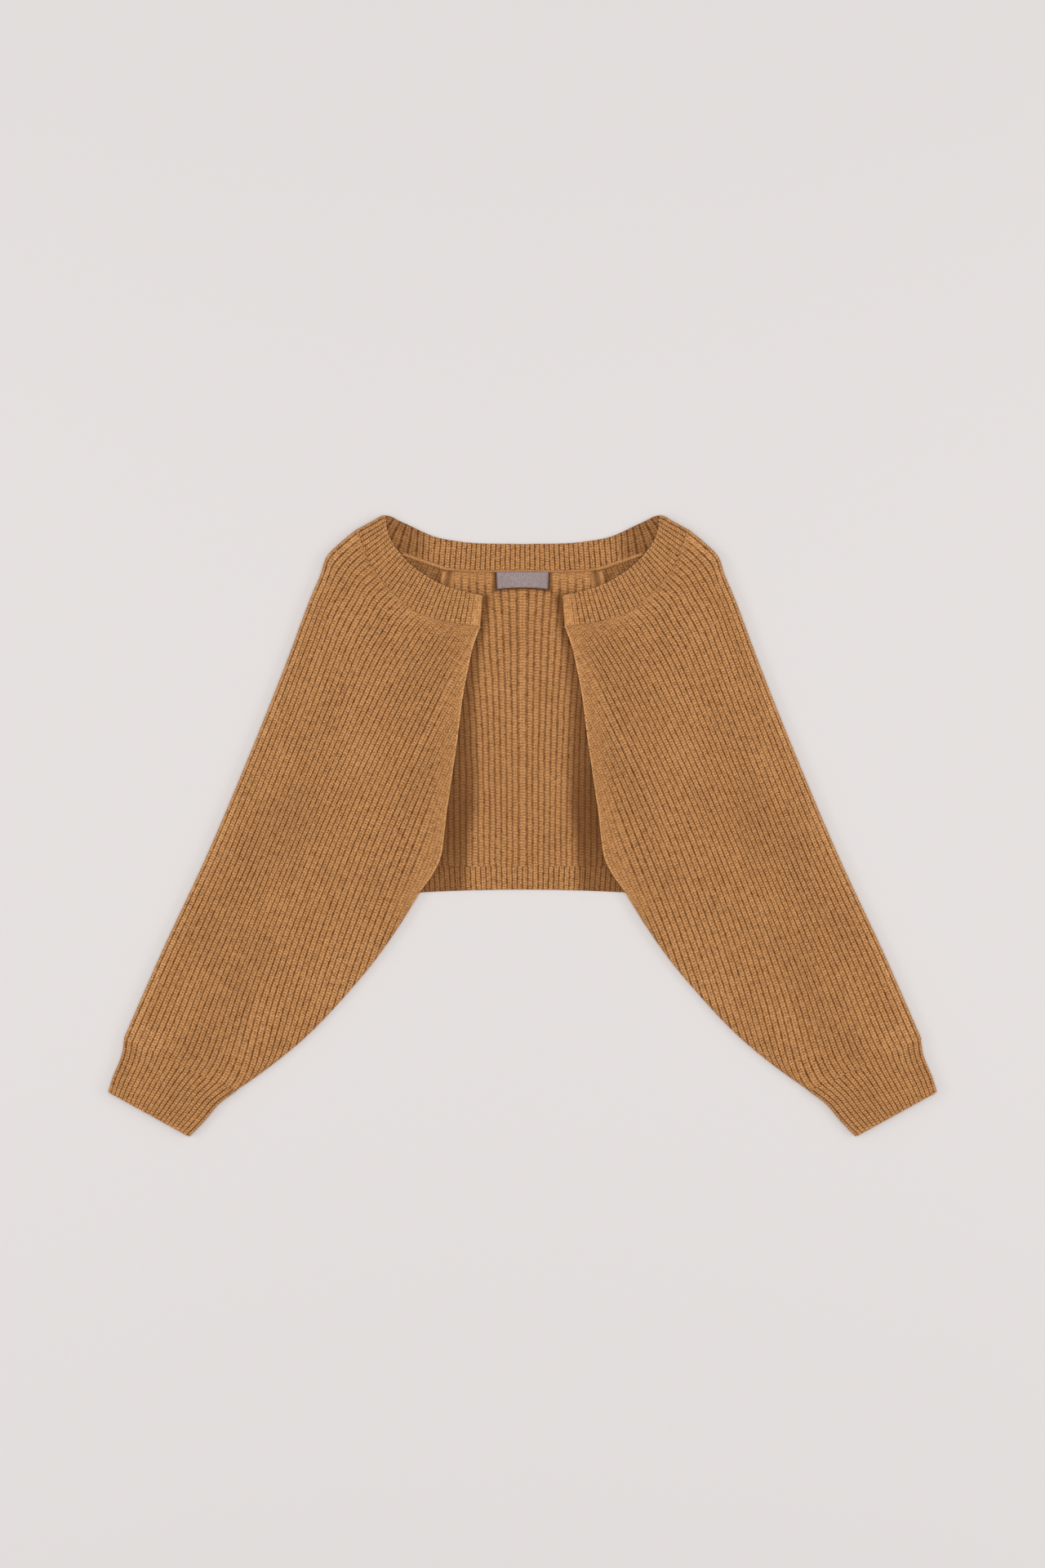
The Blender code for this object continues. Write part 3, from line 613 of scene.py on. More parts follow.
@dataclass(frozen=True)
class RibKnitWool:
    """Brushed camel wool in rib knit: matt and warm, with a short fuzz that catches light at its edges.

    Each rib is a column of V stitches. The grooves between ribs are deep and dotted with a hole at
    every row of stitches. The colour has painted shade in the grooves, the holes and between the rows.
    """

    name: str
    # The paler and the middle tone of the yarn, mixed at random by the grain, and the deep colour of
    # the painted shade; the paler tone is also what a painted highlight goes towards
    lit: str = "FCBD7E"
    body: str = "CB8C51"
    deep: str = "5E3411"
    # The tint of the fuzz where it is seen from the side
    glow: str = "E8B98A"
    # Width as a share of half a rib; each tone is painted shade, as a share of the way to the deep
    # colour
    groove_width: float = 0.46
    groove_tone: float = 0.77
    # How much a groove opens and closes along its length
    dashes: float = 0.85
    middle_tone: float = 0.4
    stitch_tone: float = 0.34
    # How clear the stitches stay where the ribs fade out
    plain_stitches: float = 0.85
    fuzz: float = 0.85
    grain: float = 0.85
    stitch_variety: float = 0.26
    stitch_slant: float = 0.45
    bump_mm: float = 0.6
    # Single fibres are 0.02 mm; they are drawn as strands this wide so that they show
    fibre_mm: float = 0.5
    grain_mm: float = 1.1
    yarn_mm: float = 2.2
    patch_mm: float = 30.0

    def make(self) -> bpy.types.Material:
        """Build the material.

        Returns:
            The material, which reads the knit map, the rib depth and the shade of a shell.
        """
        material, shader = new_material(self.name)
        tree = material.node_tree
        place = add_node(tree, "ShaderNodeTexCoord").outputs["Object"]
        fibres, grain, yarn, patches = (
            add_node(tree, NOISE, {"Vector": place, "Scale": 1 / (size * MM), "Detail": detail})
            for size, detail in ((self.fibre_mm, 3.0), (self.grain_mm, 1.0), (self.yarn_mm, 2.0),
                                 (self.patch_mm, 2.0)))
        knit = add_node(tree, "ShaderNodeSeparateXYZ",
                        (add_node(tree, "ShaderNodeUVMap", uv_map="knit"),))
        rib, course = knit.outputs[0], knit.outputs[1]
        depth, shade = (add_node(tree, "ShaderNodeAttribute", attribute_name=label).outputs["Fac"]
                        for label in ("rib_depth", "shade"))
        across, along = self.stitch_place(tree, rib, course, yarn, fibres)
        openness = self.openness(tree, rib, course, patches)
        parts = self.stitch_parts(tree, across, along, openness, depth)
        specks, lumps = (add_node(tree, EASE, (noise, 0.3, 0.7, -0.4 * share, 0.6 * share))
                         for noise, share in ((fibres, self.fuzz), (grain, self.grain)))
        uneven = add_node(tree, MATH, (specks, lumps), operation="ADD")
        uneven = add_node(tree, MATH, (self.stitch_tint(tree, rib, along), self.stitch_variety, uneven),
                          operation="MULTIPLY_ADD")
        colour = self.colour(tree, parts, uneven, grain, shade)
        tree.links.new(colour, shader.inputs["Base Color"])
        bump = add_node(tree, "ShaderNodeBump", {"Strength": 0.9, "Distance": self.bump_mm * MM,
                                                 "Height": self.height(tree, parts, fibres)})
        tree.links.new(bump.outputs[0], shader.inputs["Normal"])
        # Wool scatters nearly all it reflects; its fibres have an index of about 1.54
        shader.inputs["Roughness"].default_value = 0.92
        shader.inputs["IOR"].default_value = 1.54
        shader.inputs["Specular IOR Level"].default_value = 0.2
        shader.inputs["Sheen Weight"].default_value = 0.1
        shader.inputs["Sheen Roughness"].default_value = 0.5
        shader.inputs["Sheen Tint"].default_value = linear_colour(self.glow)
        return material

    def stitch_parts(self, tree: bpy.types.NodeTree, across: bpy.types.Node, along: bpy.types.Node,
                     openness: bpy.types.Node, depth: bpy.types.NodeSocket) -> StitchParts:
        """The dark places of the knit, each from 0 to 1: painted shade in the colour, and low in the
        bump.

        Args:
            tree: The material's node tree.
            across: Distance across from the rib's middle line, 0, to the groove, 1.
            along: The row of stitches.
            openness: How open the groove is.
            depth: How clear the ribs are.

        Returns:
            The groove, the line down the middle of the rib, and the gap between two rows of
            stitches along a leg.
        """
        groove = add_node(tree, EASE, (across, 1 - self.groove_width, 1.0),
                          interpolation_type="SMOOTHSTEP")
        middle = add_node(tree, EASE, (across, 0.3, 0.04), interpolation_type="SMOOTHSTEP")
        slanted = add_node(tree, MATH, (across, self.stitch_slant, along), operation="MULTIPLY_ADD")
        between, holes = (
            add_node(tree, EASE, (add_node(tree, MATH, (rows, 0.5), operation="PINGPONG"), low, high),
                     interpolation_type="SMOOTHSTEP")
            for rows, low, high in ((slanted, 0.3, -0.02), (along, 0.42, 0.08)))
        # Groove and middle line are deeper, with darker painted shade, at the small hole of each row
        holed = add_node(tree, MATH, (holes, 0.5, 0.6), operation="MULTIPLY_ADD")
        for share in (holed, openness, depth):
            groove = add_node(tree, MATH, (groove, share), operation="MULTIPLY")
        holed = add_node(tree, MATH, (holes, 0.7, 0.3), operation="MULTIPLY_ADD")
        middle = add_node(tree, MATH, (middle, holed), operation="MULTIPLY")
        clear = add_node(tree, EASE, (depth, 0.2, 0.8, self.plain_stitches, 1.0))
        middle, between = (add_node(tree, MATH, (part, clear), operation="MULTIPLY")
                           for part in (middle, between))
        return groove, middle, between

    def colour(self, tree: bpy.types.NodeTree, parts: StitchParts, uneven: bpy.types.Node,
               grain: bpy.types.Node, shade: bpy.types.NodeSocket) -> bpy.types.NodeSocket:
        """The yarn's colour, with painted shade in its dark places and the shell's painted light and
        shade.

        Args:
            tree: The material's node tree.
            parts: The dark places of the knit.
            uneven: How specks of fuzz and stitches that differ change the tone.
            grain: Noise as wide as a stitch.
            shade: How deep the painted shade on the cloth is; below zero it is a painted highlight.

        Returns:
            The colour.
        """
        # Painted shade in the grooves, the middle lines and between the rows, over the random tone of
        # fuzz and stitches
        tone = uneven
        for part, share in zip(parts, (self.groove_tone, self.middle_tone, self.stitch_tone)):
            tone = add_node(tree, MATH, (part, share, tone), operation="MULTIPLY_ADD")
        tone = add_node(tree, MATH, (tone, -0.5 * self.stitch_variety), operation="ADD", use_clamp=True)
        lit, body, deep = (linear_colour(code) for code in (self.lit, self.body, self.deep))
        share = add_node(tree, EASE, (grain, 0.35, 0.65))
        # Below zero, the shade is a painted highlight, for rims where the fuzz catches more light
        pale = add_node(tree, EASE, (shade, 0.0, -0.5, 0.0, 0.7))
        share = add_node(tree, MATH, (share, pale), operation="ADD", use_clamp=True)
        top = add_node(tree, MIX, {0: share, 6: body, 7: lit}, data_type="RGBA").outputs[2]
        # Above zero, the shade is painted shade, mixed towards the deep colour
        share = add_node(tree, MATH, (shade, 0.75), operation="MULTIPLY", use_clamp=True)
        top = add_node(tree, MIX, {0: share, 6: top, 7: deep}, data_type="RGBA").outputs[2]
        return add_node(tree, MIX, {0: tone, 6: top, 7: deep}, data_type="RGBA").outputs[2]

    def height(self, tree: bpy.types.NodeTree, parts: StitchParts,
               fibres: bpy.types.Node) -> bpy.types.Node:
        """The height of the stitches for the bump, in shares of its distance.

        Args:
            tree: The material's node tree.
            parts: The dark places of the knit.
            fibres: Noise as wide as a strand.

        Returns:
            The height, lowest in the grooves.
        """
        groove, middle, between = parts
        height = add_node(tree, MATH, (between, -0.5, groove), operation="MULTIPLY_ADD")
        for part, share in ((groove, -1.5), (middle, -0.5), (fibres, 0.5)):
            height = add_node(tree, MATH, (part, share, height), operation="MULTIPLY_ADD")
        return height

    def stitch_place(self, tree: bpy.types.NodeTree, rib: bpy.types.NodeSocket,
                     course: bpy.types.NodeSocket, yarn: bpy.types.Node,
                     fibres: bpy.types.Node) -> tuple[bpy.types.Node, bpy.types.Node]:
        """Where a point lies in its stitch, with the yarn's wander.

        Args:
            tree: The material's node tree.
            rib: The rib coordinate.
            course: The course coordinate.
            yarn: Noise as wide as the yarn.
            fibres: Noise as wide as a strand.

        Returns:
            Its distance across from the rib's middle line, 0, to the groove, 1, and its row.
        """
        wander = add_node(tree, MATH, (yarn, 0.14, rib), operation="MULTIPLY_ADD")
        wander = add_node(tree, MATH, (wander, 0.43), operation="ADD")
        across = add_node(tree, MATH, (wander, 0.5), operation="PINGPONG")
        across = add_node(tree, MATH, (across, 2.0), operation="MULTIPLY")
        # Next to each other, ribs have their rows at other heights
        along = add_node(tree, MATH, (add_node(tree, MATH, (rib,), operation="FLOOR"), 0.37, course),
                         operation="MULTIPLY_ADD")
        along = add_node(tree, MATH, (fibres, 0.3, along), operation="MULTIPLY_ADD")
        return across, along

    def openness(self, tree: bpy.types.NodeTree, rib: bpy.types.NodeSocket,
                 course: bpy.types.NodeSocket, patches: bpy.types.Node) -> bpy.types.Node:
        """How open a groove is: each opens and closes every few rows, and a little over the garment.

        Args:
            tree: The material's node tree.
            rib: The rib coordinate.
            course: The course coordinate.
            patches: Noise as wide as a hand.

        Returns:
            The openness, about 0.5 to 1.5.
        """
        number = add_node(tree, MATH, (rib,), operation="ROUND")
        line = add_node(tree, "ShaderNodeCombineXYZ",
                        (add_node(tree, MATH, (number, 7.3), operation="MULTIPLY"),
                         add_node(tree, MATH, (course, 0.6), operation="MULTIPLY")))
        dash = add_node(tree, NOISE, {"Vector": line, "Scale": 1.0, "Detail": 1.0})
        dash = add_node(tree, EASE, (dash, 0.25, 0.75, 0.85 - self.dashes / 2, 0.85 + self.dashes / 2))
        return add_node(tree, MATH, (patches, 0.3, dash), operation="MULTIPLY_ADD")

    def stitch_tint(self, tree: bpy.types.NodeTree, rib: bpy.types.NodeSocket,
                    along: bpy.types.Node) -> bpy.types.Node:
        """A random number from 0 to 1 for each leg of each stitch.

        Args:
            tree: The material's node tree.
            rib: The rib coordinate.
            along: The row of stitches.

        Returns:
            The number.
        """
        leg = add_node(tree, MATH, (rib, 2.0), operation="MULTIPLY")
        cell = add_node(tree, "ShaderNodeCombineXYZ", (
            add_node(tree, MATH, (leg,), operation="FLOOR"),
            add_node(tree, MATH, (along,), operation="FLOOR")))
        return add_node(tree, "ShaderNodeTexWhiteNoise", (cell,), noise_dimensions="3D")


@dataclass(frozen=True)
class WovenRibbon:
    """Taupe polyester satin ribbon: smooth with a fine upright weave and a soft gleam."""

    name: str = "woven_taupe_ribbon"
    face: str = "9E8B8A"
    deep: str = "6A5654"
    # The real warp is about 0.3 mm; it is drawn four times as coarse so that it shows
    warp_mm: float = 1.3
    thread_mm: float = 1.0
    bump_mm: float = 0.15

    def make(self) -> bpy.types.Material:
        """Build the material.

        Returns:
            The material, which reads the shade of a shell: darker along the rim, a little paler down
            the middle.
        """
        material, shader = new_material(self.name)
        tree = material.node_tree
        place = add_node(tree, "ShaderNodeTexCoord").outputs["Object"]
        split = add_node(tree, "ShaderNodeSeparateXYZ", (place,))
        # Threads are long and upright, with the warp's even waves between them
        upright = add_node(tree, "ShaderNodeVectorMath", (place, (1.0, 0.3, 1.0)),
                           operation="MULTIPLY")
        threads = add_node(tree, NOISE, {"Vector": upright, "Scale": 1 / (self.thread_mm * MM)})
        weave = add_node(tree, EASE, (threads, 0.3, 0.7, 0.0, 0.7))
        turns = 2 * math.pi / (self.warp_mm * MM)
        wave = add_node(tree, MATH, (split.outputs[0], turns), operation="MULTIPLY")
        wave = add_node(tree, MATH, (wave,), operation="SINE")
        weave = add_node(tree, MATH, (wave, 0.2, weave), operation="MULTIPLY_ADD", use_clamp=True)
        # The shell's shade makes it darker along the rim and a little paler down the middle
        rim_tone = add_node(tree, "ShaderNodeAttribute", attribute_name="shade").outputs["Fac"]
        weave = add_node(tree, MATH, (weave, rim_tone), operation="ADD", use_clamp=True)
        face, deep = linear_colour(self.face), linear_colour(self.deep)
        colour = add_node(tree, MIX, {0: weave, 6: face, 7: deep}, data_type="RGBA").outputs[2]
        tree.links.new(colour, shader.inputs["Base Color"])
        bump = add_node(tree, "ShaderNodeBump",
                        {"Strength": 0.4, "Distance": self.bump_mm * MM, "Height": weave})
        tree.links.new(bump.outputs[0], shader.inputs["Normal"])
        # Polyester has an index of about 1.57; satin threads spread its gleam
        shader.inputs["Roughness"].default_value = 0.5
        shader.inputs["IOR"].default_value = 1.57
        return material


@dataclass(frozen=True)
class PaperFloor:
    """Matt pale grey backdrop paper."""

    name: str = "pale_backdrop_paper"
    face: str = "E6E2E1"

    def make(self) -> bpy.types.Material:
        """Build the material.

        Returns:
            The material.
        """
        material, shader = new_material(self.name)
        shader.inputs["Base Color"].default_value = linear_colour(self.face)
        shader.inputs["Roughness"].default_value = 0.95
        shader.inputs["Specular IOR Level"].default_value = 0.1
        return material


# The garment


@dataclass
class CardiganCloth:
    """The cloths that the pieces are cut from."""

    body: bpy.types.Material = field(default_factory=RibKnitWool("camel_wool_rib_knit").make)
    back: bpy.types.Material = field(
        default_factory=RibKnitWool("camel_wool_wide_rib_knit", groove_width=0.85, groove_tone=0.56,
                                    dashes=0.4, middle_tone=0.3, stitch_tone=0.3,
                                    stitch_variety=0.16).make)
    band: bpy.types.Material = field(
        default_factory=RibKnitWool("camel_wool_band_rib", groove_width=0.56, dashes=0.5,
                                    plain_stitches=0.4).make)
    ribbon: bpy.types.Material = field(default_factory=WovenRibbon().make)


@dataclass
class SleeveFront:
    """One dolman sleeve-front: back half, outer fold and ribbed front half in one sheet."""

    side: Side
    ribs: int = 38
    course: float = 2.9 * MM
    # Shares of the ribs that end at the cuff, above and below, and at the neck seam, and the share
    # of the underarm edge at which the last rib ends
    cuff_share: float = 20 / 38
    under_cuff_share: float = 0.4
    neck_share: float = 28 / 38
    last_rib_share: float = 0.955
    # Share of the ribs that end on an edge, and share of that edge's length where they end
    cuff_rib_ends: Table = (
        (0.0, 0.0), (0.206, 0.2), (0.417, 0.4), (0.628, 0.6), (0.827, 0.8), (1.0, 1.0),
    )
    underarm_rib_ends: Table = (
        (0.0, 0.0), (0.27, 0.2), (0.52, 0.4), (0.72, 0.6), (0.88, 0.8), (1.0, 1.0),
    )
    neck_rib_ends: Table = (
        (0.0, 0.0), (0.175, 0.2), (0.355, 0.4), (0.55, 0.6), (0.76, 0.8), (1.0, 1.0),
    )
    front_rib_ends: Table = (
        (0.0, 0.0), (0.05, 0.15), (0.23, 0.32), (0.384, 0.42), (0.626, 0.61), (0.81, 0.8), (1.0, 1.0),
    )
    upper_inner_reach: int = 7
    under_inner_reach: int = 1
    # How far the ribs bow towards the elbow, at which share across, and over which width
    bow: float = 17.0 * MM
    bow_middle: float = 0.61
    bow_reach: float = 0.28
    # How steeply the ribs turn into the cuff, and how far above it
    sweep: float = 0.48
    sweep_length: float = 32.0 * MM
    under_columns: int = 36
    under_pitch: float = 6.2 * MM
    fold_angles: tuple[float, ...] = (-80.0, -62.0, -44.0, -26.0, -9.0, 9.0, 26.0, 44.0, 62.0, 80.0)
    rims: tuple[float, ...] = (0.0, 0.25 * MM, 0.6 * MM, 1.2 * MM, 2.0 * MM)
    inner_rows: int = 112
    # How far a rib wanders; the plain welt along the front edge, and the flatter ribs beside it
    sway: float = 0.3 * MM
    welt_width: float = 4.5 * MM
    welt_height: float = 0.35 * MM
    plain_width: float = 26.0 * MM
    underarm_round: float = 2.4 * MM
    under_round: float = 2.0 * MM
    # Tones of painted light and shade: positive is painted shade, negative a painted highlight, each
    # with the width that it fades over
    seam_shade: float = 0.3
    seam_shade_width: float = 3.5 * MM
    chest_shade: float = 0.16
    chest_shade_width: float = 45.0 * MM
    rim_glow: float = 0.76
    rim_glow_width: float = 2.2 * MM
    fold_glow: float = 0.2
    fold_shade: float = -0.12
    # Broad troughs and ridges in millimetres: x and y of both ends, half width, height, and tone,
    # the painted shade along them
    creases: tuple[tuple[float, ...], ...] = (
        (246.0, 26.0, 382.0, -178.0, 24.0, -0.9, 0.16),
        (204.0, -59.0, 357.0, -254.0, 26.0, 0.7, 0.1),
        (120.0, 190.0, 150.0, 60.0, 40.0, 0.5, 0.0),
    )
    last_rib: PlanCurve = field(init=False)
    cuff_across: Array = field(init=False)

    def __post_init__(self) -> None:
        """Work out the curves that depend on the sizes."""
        start = UNDERARM_CURVE.at(self.last_rib_share)
        knots = np.array([(x, y) for _, x, y in LAST_RIB]) * MM
        self.last_rib = PlanCurve(np.vstack([start, knots]))
        along = OUTER_FOLD_CURVE.at(0.0) - UNDERARM_CURVE.at(0.0)
        self.cuff_across = along / np.linalg.norm(along)

    def fold_across(self, b: Array) -> Array:
        """The plan directions out of the sleeve, square to its fold.

        Args:
            b: Shares up the sleeve.

        Returns:
            The unit directions, level with the cuff and with the neckband at their ends.
        """
        step = 0.01
        square = quarter_turn(OUTER_FOLD_CURVE.at(b + step) - OUTER_FOLD_CURVE.at(b - step))
        cuff = (1 - smooth_step(b / 0.06))[..., None]
        shoulder = smooth_step((b - 0.94) / 0.06)[..., None]
        mixed = square * (1 - cuff - shoulder) + self.cuff_across * cuff + SHOULDER_ACROSS * shoulder
        return mixed / np.linalg.norm(mixed, axis=-1, keepdims=True)

    def fold_line(self, b: Array) -> Array:
        """Where the two layers leave their fold."""
        b = np.asarray(b, dtype=float)
        return OUTER_FOLD_CURVE.at(b) - self.fold_across(b) * FOLD_RADIUS

    def cuff_line(self, share: Array) -> Array:
        """The straight seam to the cuff, from the fold inward."""
        return blend(self.fold_line(np.array(0.0)), UNDERARM_CURVE.at(0.0), share)

    def patch(self, p: Array, b: Array, lower: Array, upper: Array, lower_ends: Array,
              upper_ends: Array, inner: Array, reach: int) -> Array:
        """A plan patch whose lines run straight up it and bend as its two sides do.

        Args:
            p: Shares across, from the fold.
            b: Shares up, from the cuff.
            lower: Points of the lower edge for each p.
            upper: Points of the upper edge for each p.
            lower_ends: The lower edge's first and last point.
            upper_ends: The upper edge's first and last point.
            inner: Points of the inner side for each b.
            reach: How sharply the bend of the inner side fades towards the fold.

        Returns:
            The plan points.
        """
        outer_bend = self.fold_line(b) - blend(lower_ends[0], upper_ends[0], b)
        # Away from the fold its corners are taken gradually
        window = np.minimum(0.07, np.minimum(b, 1 - b))
        nearby = [b + window * step for step in (-1.0, -0.5, 0.0, 0.5, 1.0)]
        gradual = sum(self.fold_line(near) - blend(lower_ends[0], upper_ends[0], near)
                      for near in nearby) / len(nearby)
        outer_bend = blend(outer_bend, gradual, smooth_step(p / 0.12))
        inner_bend = inner - blend(lower_ends[1], upper_ends[1], b)
        return (blend(lower, upper, b) + outer_bend * (1 - p)[..., None]
                + inner_bend * (p**reach)[..., None])

    def upper_edges(self, p: Array) -> tuple[Array, Array]:
        """The edge points of the front half: the cuff and underarm, then the neck and front edge.

        Args:
            p: Shares across, from the fold.

        Returns:
            The points of the lower and of the upper edge.
        """
        on_cuff = self.cuff_line(eased(self.cuff_rib_ends, p / self.cuff_share))
        along = eased(self.underarm_rib_ends, (p - self.cuff_share) / (1 - self.cuff_share))
        on_underarm = UNDERARM_CURVE.at(self.last_rib_share * along)
        lower = np.where((p <= self.cuff_share)[..., None], on_cuff, on_underarm)
        on_seam = SEAM_FRONT_CURVE.at(eased(self.neck_rib_ends, p / self.neck_share))
        down = eased(self.front_rib_ends, (p - self.neck_share) / (1 - self.neck_share))
        upper = np.where((p <= self.neck_share)[..., None], on_seam, FRONT_EDGE_CURVE.at(down))
        return lower, upper

    def upper_plan(self, p: Array, b: Array) -> Array:
        """Plan points of the front half, whose ribs bow over the chest.

        Args:
            p: Shares across, from the fold.
            b: Shares up, from the cuff.

        Returns:
            The plan points.
        """
        lower, upper = self.upper_edges(p)
        lower_ends, upper_ends = self.upper_edges(np.array([0.0, 1.0]))
        plan = self.patch(p, b, lower, upper, lower_ends, upper_ends, self.last_rib.at(b),
                          self.upper_inner_reach)
        away = (p - self.bow_middle) / self.bow_reach
        bow = self.bow * np.exp(-away * away) * np.sin(math.pi * b) * smooth_step((1 - p) / 0.12)
        # Above the cuff the inner ribs turn gradually towards it
        up = b * OUTER_FOLD_CURVE.length / self.sweep_length
        sweep = (self.sweep * np.minimum(p / self.cuff_share, 1.0)
                 * (1 - smooth_step((p - self.cuff_share) / 0.2)))
        bow = bow - sweep * self.sweep_length * up * np.exp(-up)
        return plan + self.cuff_across * bow[..., None]

    def under_edges(self, p: Array) -> tuple[Array, Array]:
        """The edge points of the back half: the cuff and underarm, then the neck seam.

        Args:
            p: Shares across, from the fold.

        Returns:
            The points of the lower and of the upper edge.
        """
        on_cuff = self.cuff_line(p / self.under_cuff_share)
        on_underarm = UNDERARM_CURVE.at((p - self.under_cuff_share) / (1 - self.under_cuff_share))
        lower = np.where((p <= self.under_cuff_share)[..., None], on_cuff, on_underarm)
        raglan_share = SEAM_BACK_CURVE.share_at_x(RAGLAN_CURVE.at(1.0)[0])
        return lower, SEAM_BACK_CURVE.at(p * raglan_share)

    def under_plan(self, p: Array, b: Array) -> Array:
        """Plan points of the back half, between the fold and the raglan seam.

        Args:
            p: Shares across, from the fold.
            b: Shares up, from the cuff.

        Returns:
            The plan points.
        """
        lower, upper = self.under_edges(p)
        lower_ends, upper_ends = self.under_edges(np.array([0.0, 1.0]))
        return self.patch(p, b, lower, upper, lower_ends, upper_ends, RAGLAN_CURVE.at(b),
                          self.under_inner_reach)

    def crease(self, plan: Array) -> tuple[Array, Array]:
        """The broad troughs and ridges of the front half.

        Args:
            plan: Plan points.

        Returns:
            How far they move each point up, and how much painted shade they put on it.
        """
        height, tone = np.zeros(plan.shape[:-1]), np.zeros(plan.shape[:-1])
        for x0, y0, x1, y1, half_width, rise, depth in self.creases:
            start, end = np.array([x0, y0]) * MM, np.array([x1, y1]) * MM
            run = end - start
            share = np.clip(((plan - start) @ run) / (run @ run), 0.0, 1.0)
            distance = np.linalg.norm(plan - start - share[..., None] * run, axis=-1)
            distance = distance / (half_width * MM)
            fade = np.exp(-distance * distance)
            height += rise * MM * fade
            tone += depth * fade
        return height, tone

    def gap(self, p: Array, b: Array, crease: Array | float = 0.0) -> Array:
        """Air under the front half: least along the underarm, most under the front edge.

        Args:
            p: Shares across, from the fold.
            b: Shares up, from the cuff.
            crease: How far the troughs and ridges lift it.

        Returns:
            The height of the air.
        """
        closing = smooth_step((p - self.cuff_share + 0.06) / 0.08) * (1 - smooth_step((p - 0.9) / 0.1))
        lower_edge = FOLD_GAP + (UNDERARM_GAP - FOLD_GAP) * closing
        rise = smooth_step(p / 0.25) * smooth_step((1 - p) / 0.12)
        middle = FOLD_GAP + (SLEEVE_GAP - FOLD_GAP) * rise
        middle = middle + ((FRONT_EDGE_GAP - SLEEVE_GAP) * smooth_step((b - 0.55) / 0.45)
                           * smooth_step((p - 0.5) / 0.25))
        middle = middle + crease * smooth_step(p / 0.08) * smooth_step((1 - b) / 0.15)
        return lower_edge + (middle - lower_edge) * smooth_step(b / 0.11)

    def courses(self, plan: Array) -> Array:
        """Rows of stitches, counted along the ribs from a line square to them across the elbow.

        Args:
            plan: Plan points, with one rib place in each column.

        Returns:
            The row of each point.
        """
        middle = np.array([250.0, -20.0]) * MM
        down = np.array([0.42, -0.91])
        along = (plan - middle) @ (down / np.linalg.norm(down))
        arc = arc_lengths(plan)
        start = np.array([np.interp(0.0, -along[:, k], arc[:, k]) for k in range(plan.shape[1])])
        return (arc - start) / self.course

    def front_half(self) -> tuple[ShellGrid, Array]:
        """The ribbed front half, from the fold to the front edge.

        Returns:
            Its grid, and the shares up the sleeve of its points.
        """
        ribs = rib_columns(0, self.ribs, FULL_RIB)
        p = ribs / self.ribs
        rough = self.upper_plan(*np.broadcast_arrays(p[None, :], np.linspace(0, 1, 60)[:, None]))
        b = rows_between(arc_lengths(rough)[-1], self.rims, self.inner_rows, SEAM_GAP / 2)
        p = np.broadcast_to(p, b.shape)
        plan = self.upper_plan(p, b)
        rib = np.broadcast_to(ribs, b.shape)
        courses = self.courses(plan)
        sway = self.sway * soft_noise(rib / 3.0, courses / 14.0, 11) * smooth_step(p / 0.05)
        sway = sway * smooth_step((1 - p) / 0.1) * smooth_step(b / 0.03) * smooth_step((1 - b) / 0.03)
        plan = plan + self.cuff_across * sway[..., None]

        front = np.minimum(FRONT_EDGE_CURVE.distance(plan), self.last_rib.distance(plan))
        seam = SEAM_FRONT_CURVE.distance(plan)
        cuff = np.where(p < self.cuff_share, b * OUTER_FOLD_CURVE.length, 1.0)
        underarm = np.where(p > self.cuff_share - 0.02, UNDERARM_CURVE.distance(plan), 1.0)
        welt = smooth_step(1 - front / self.welt_width)
        clear = 0.35 + 0.65 * smooth_step((front - self.welt_width) / self.plain_width)
        chest = smooth_step((140 * MM - plan[..., 0]) / (50 * MM))
        clear = clear * (1 - 0.6 * chest * smooth_step(1 - seam / self.plain_width))
        depth = clear * (1 - welt) * smooth_step(seam / (6 * MM) + 0.25)
        variety = 1 + 0.18 * soft_noise(rib / 2.0, courses / 9.0, 5)
        height = FINE_RIB + (RIB - FINE_RIB) * smooth_step(cuff / (20 * MM))
        relief = height * (rib_profile(rib) * depth * variety + (1 - depth) * 0.55)
        relief = relief + self.welt_height * welt

        crease, tone = self.crease(plan)
        floor = WALL + self.gap(p, b, crease)
        top = floor + WALL + relief
        top = (top - rounding(front, WALL * 0.55) - rounding(seam, SEAM_ROUND)
               - rounding(cuff, SEAM_ROUND))
        low_rim = WALL + UNDERARM_GAP / 2
        curl = rounding(underarm, self.underarm_round) / self.underarm_round
        top = top + (low_rim - top) * curl
        floor = floor + rounding(front, WALL * 0.4)
        floor = np.minimum(floor, top - THINNEST)
        # Painted shade in the creases, along the neck seam and near the front edge, and painted
        # highlights along the front edge and the fold, over a random tone
        shade = tone + 0.1 * soft_noise(rib / 5.0, courses / 20.0, 8)
        shade = shade + self.seam_shade * smooth_step(1 - seam / self.seam_shade_width)
        shade = shade + self.chest_shade * np.exp(-((front / self.chest_shade_width) ** 2))
        shade = (shade - self.rim_glow * smooth_step(1 - front / self.rim_glow_width)
                 - self.fold_glow * smooth_step(1 - p / 0.05))
        return ShellGrid(lifted(plan, top), lifted(plan, floor), rib, courses, depth, shade), b

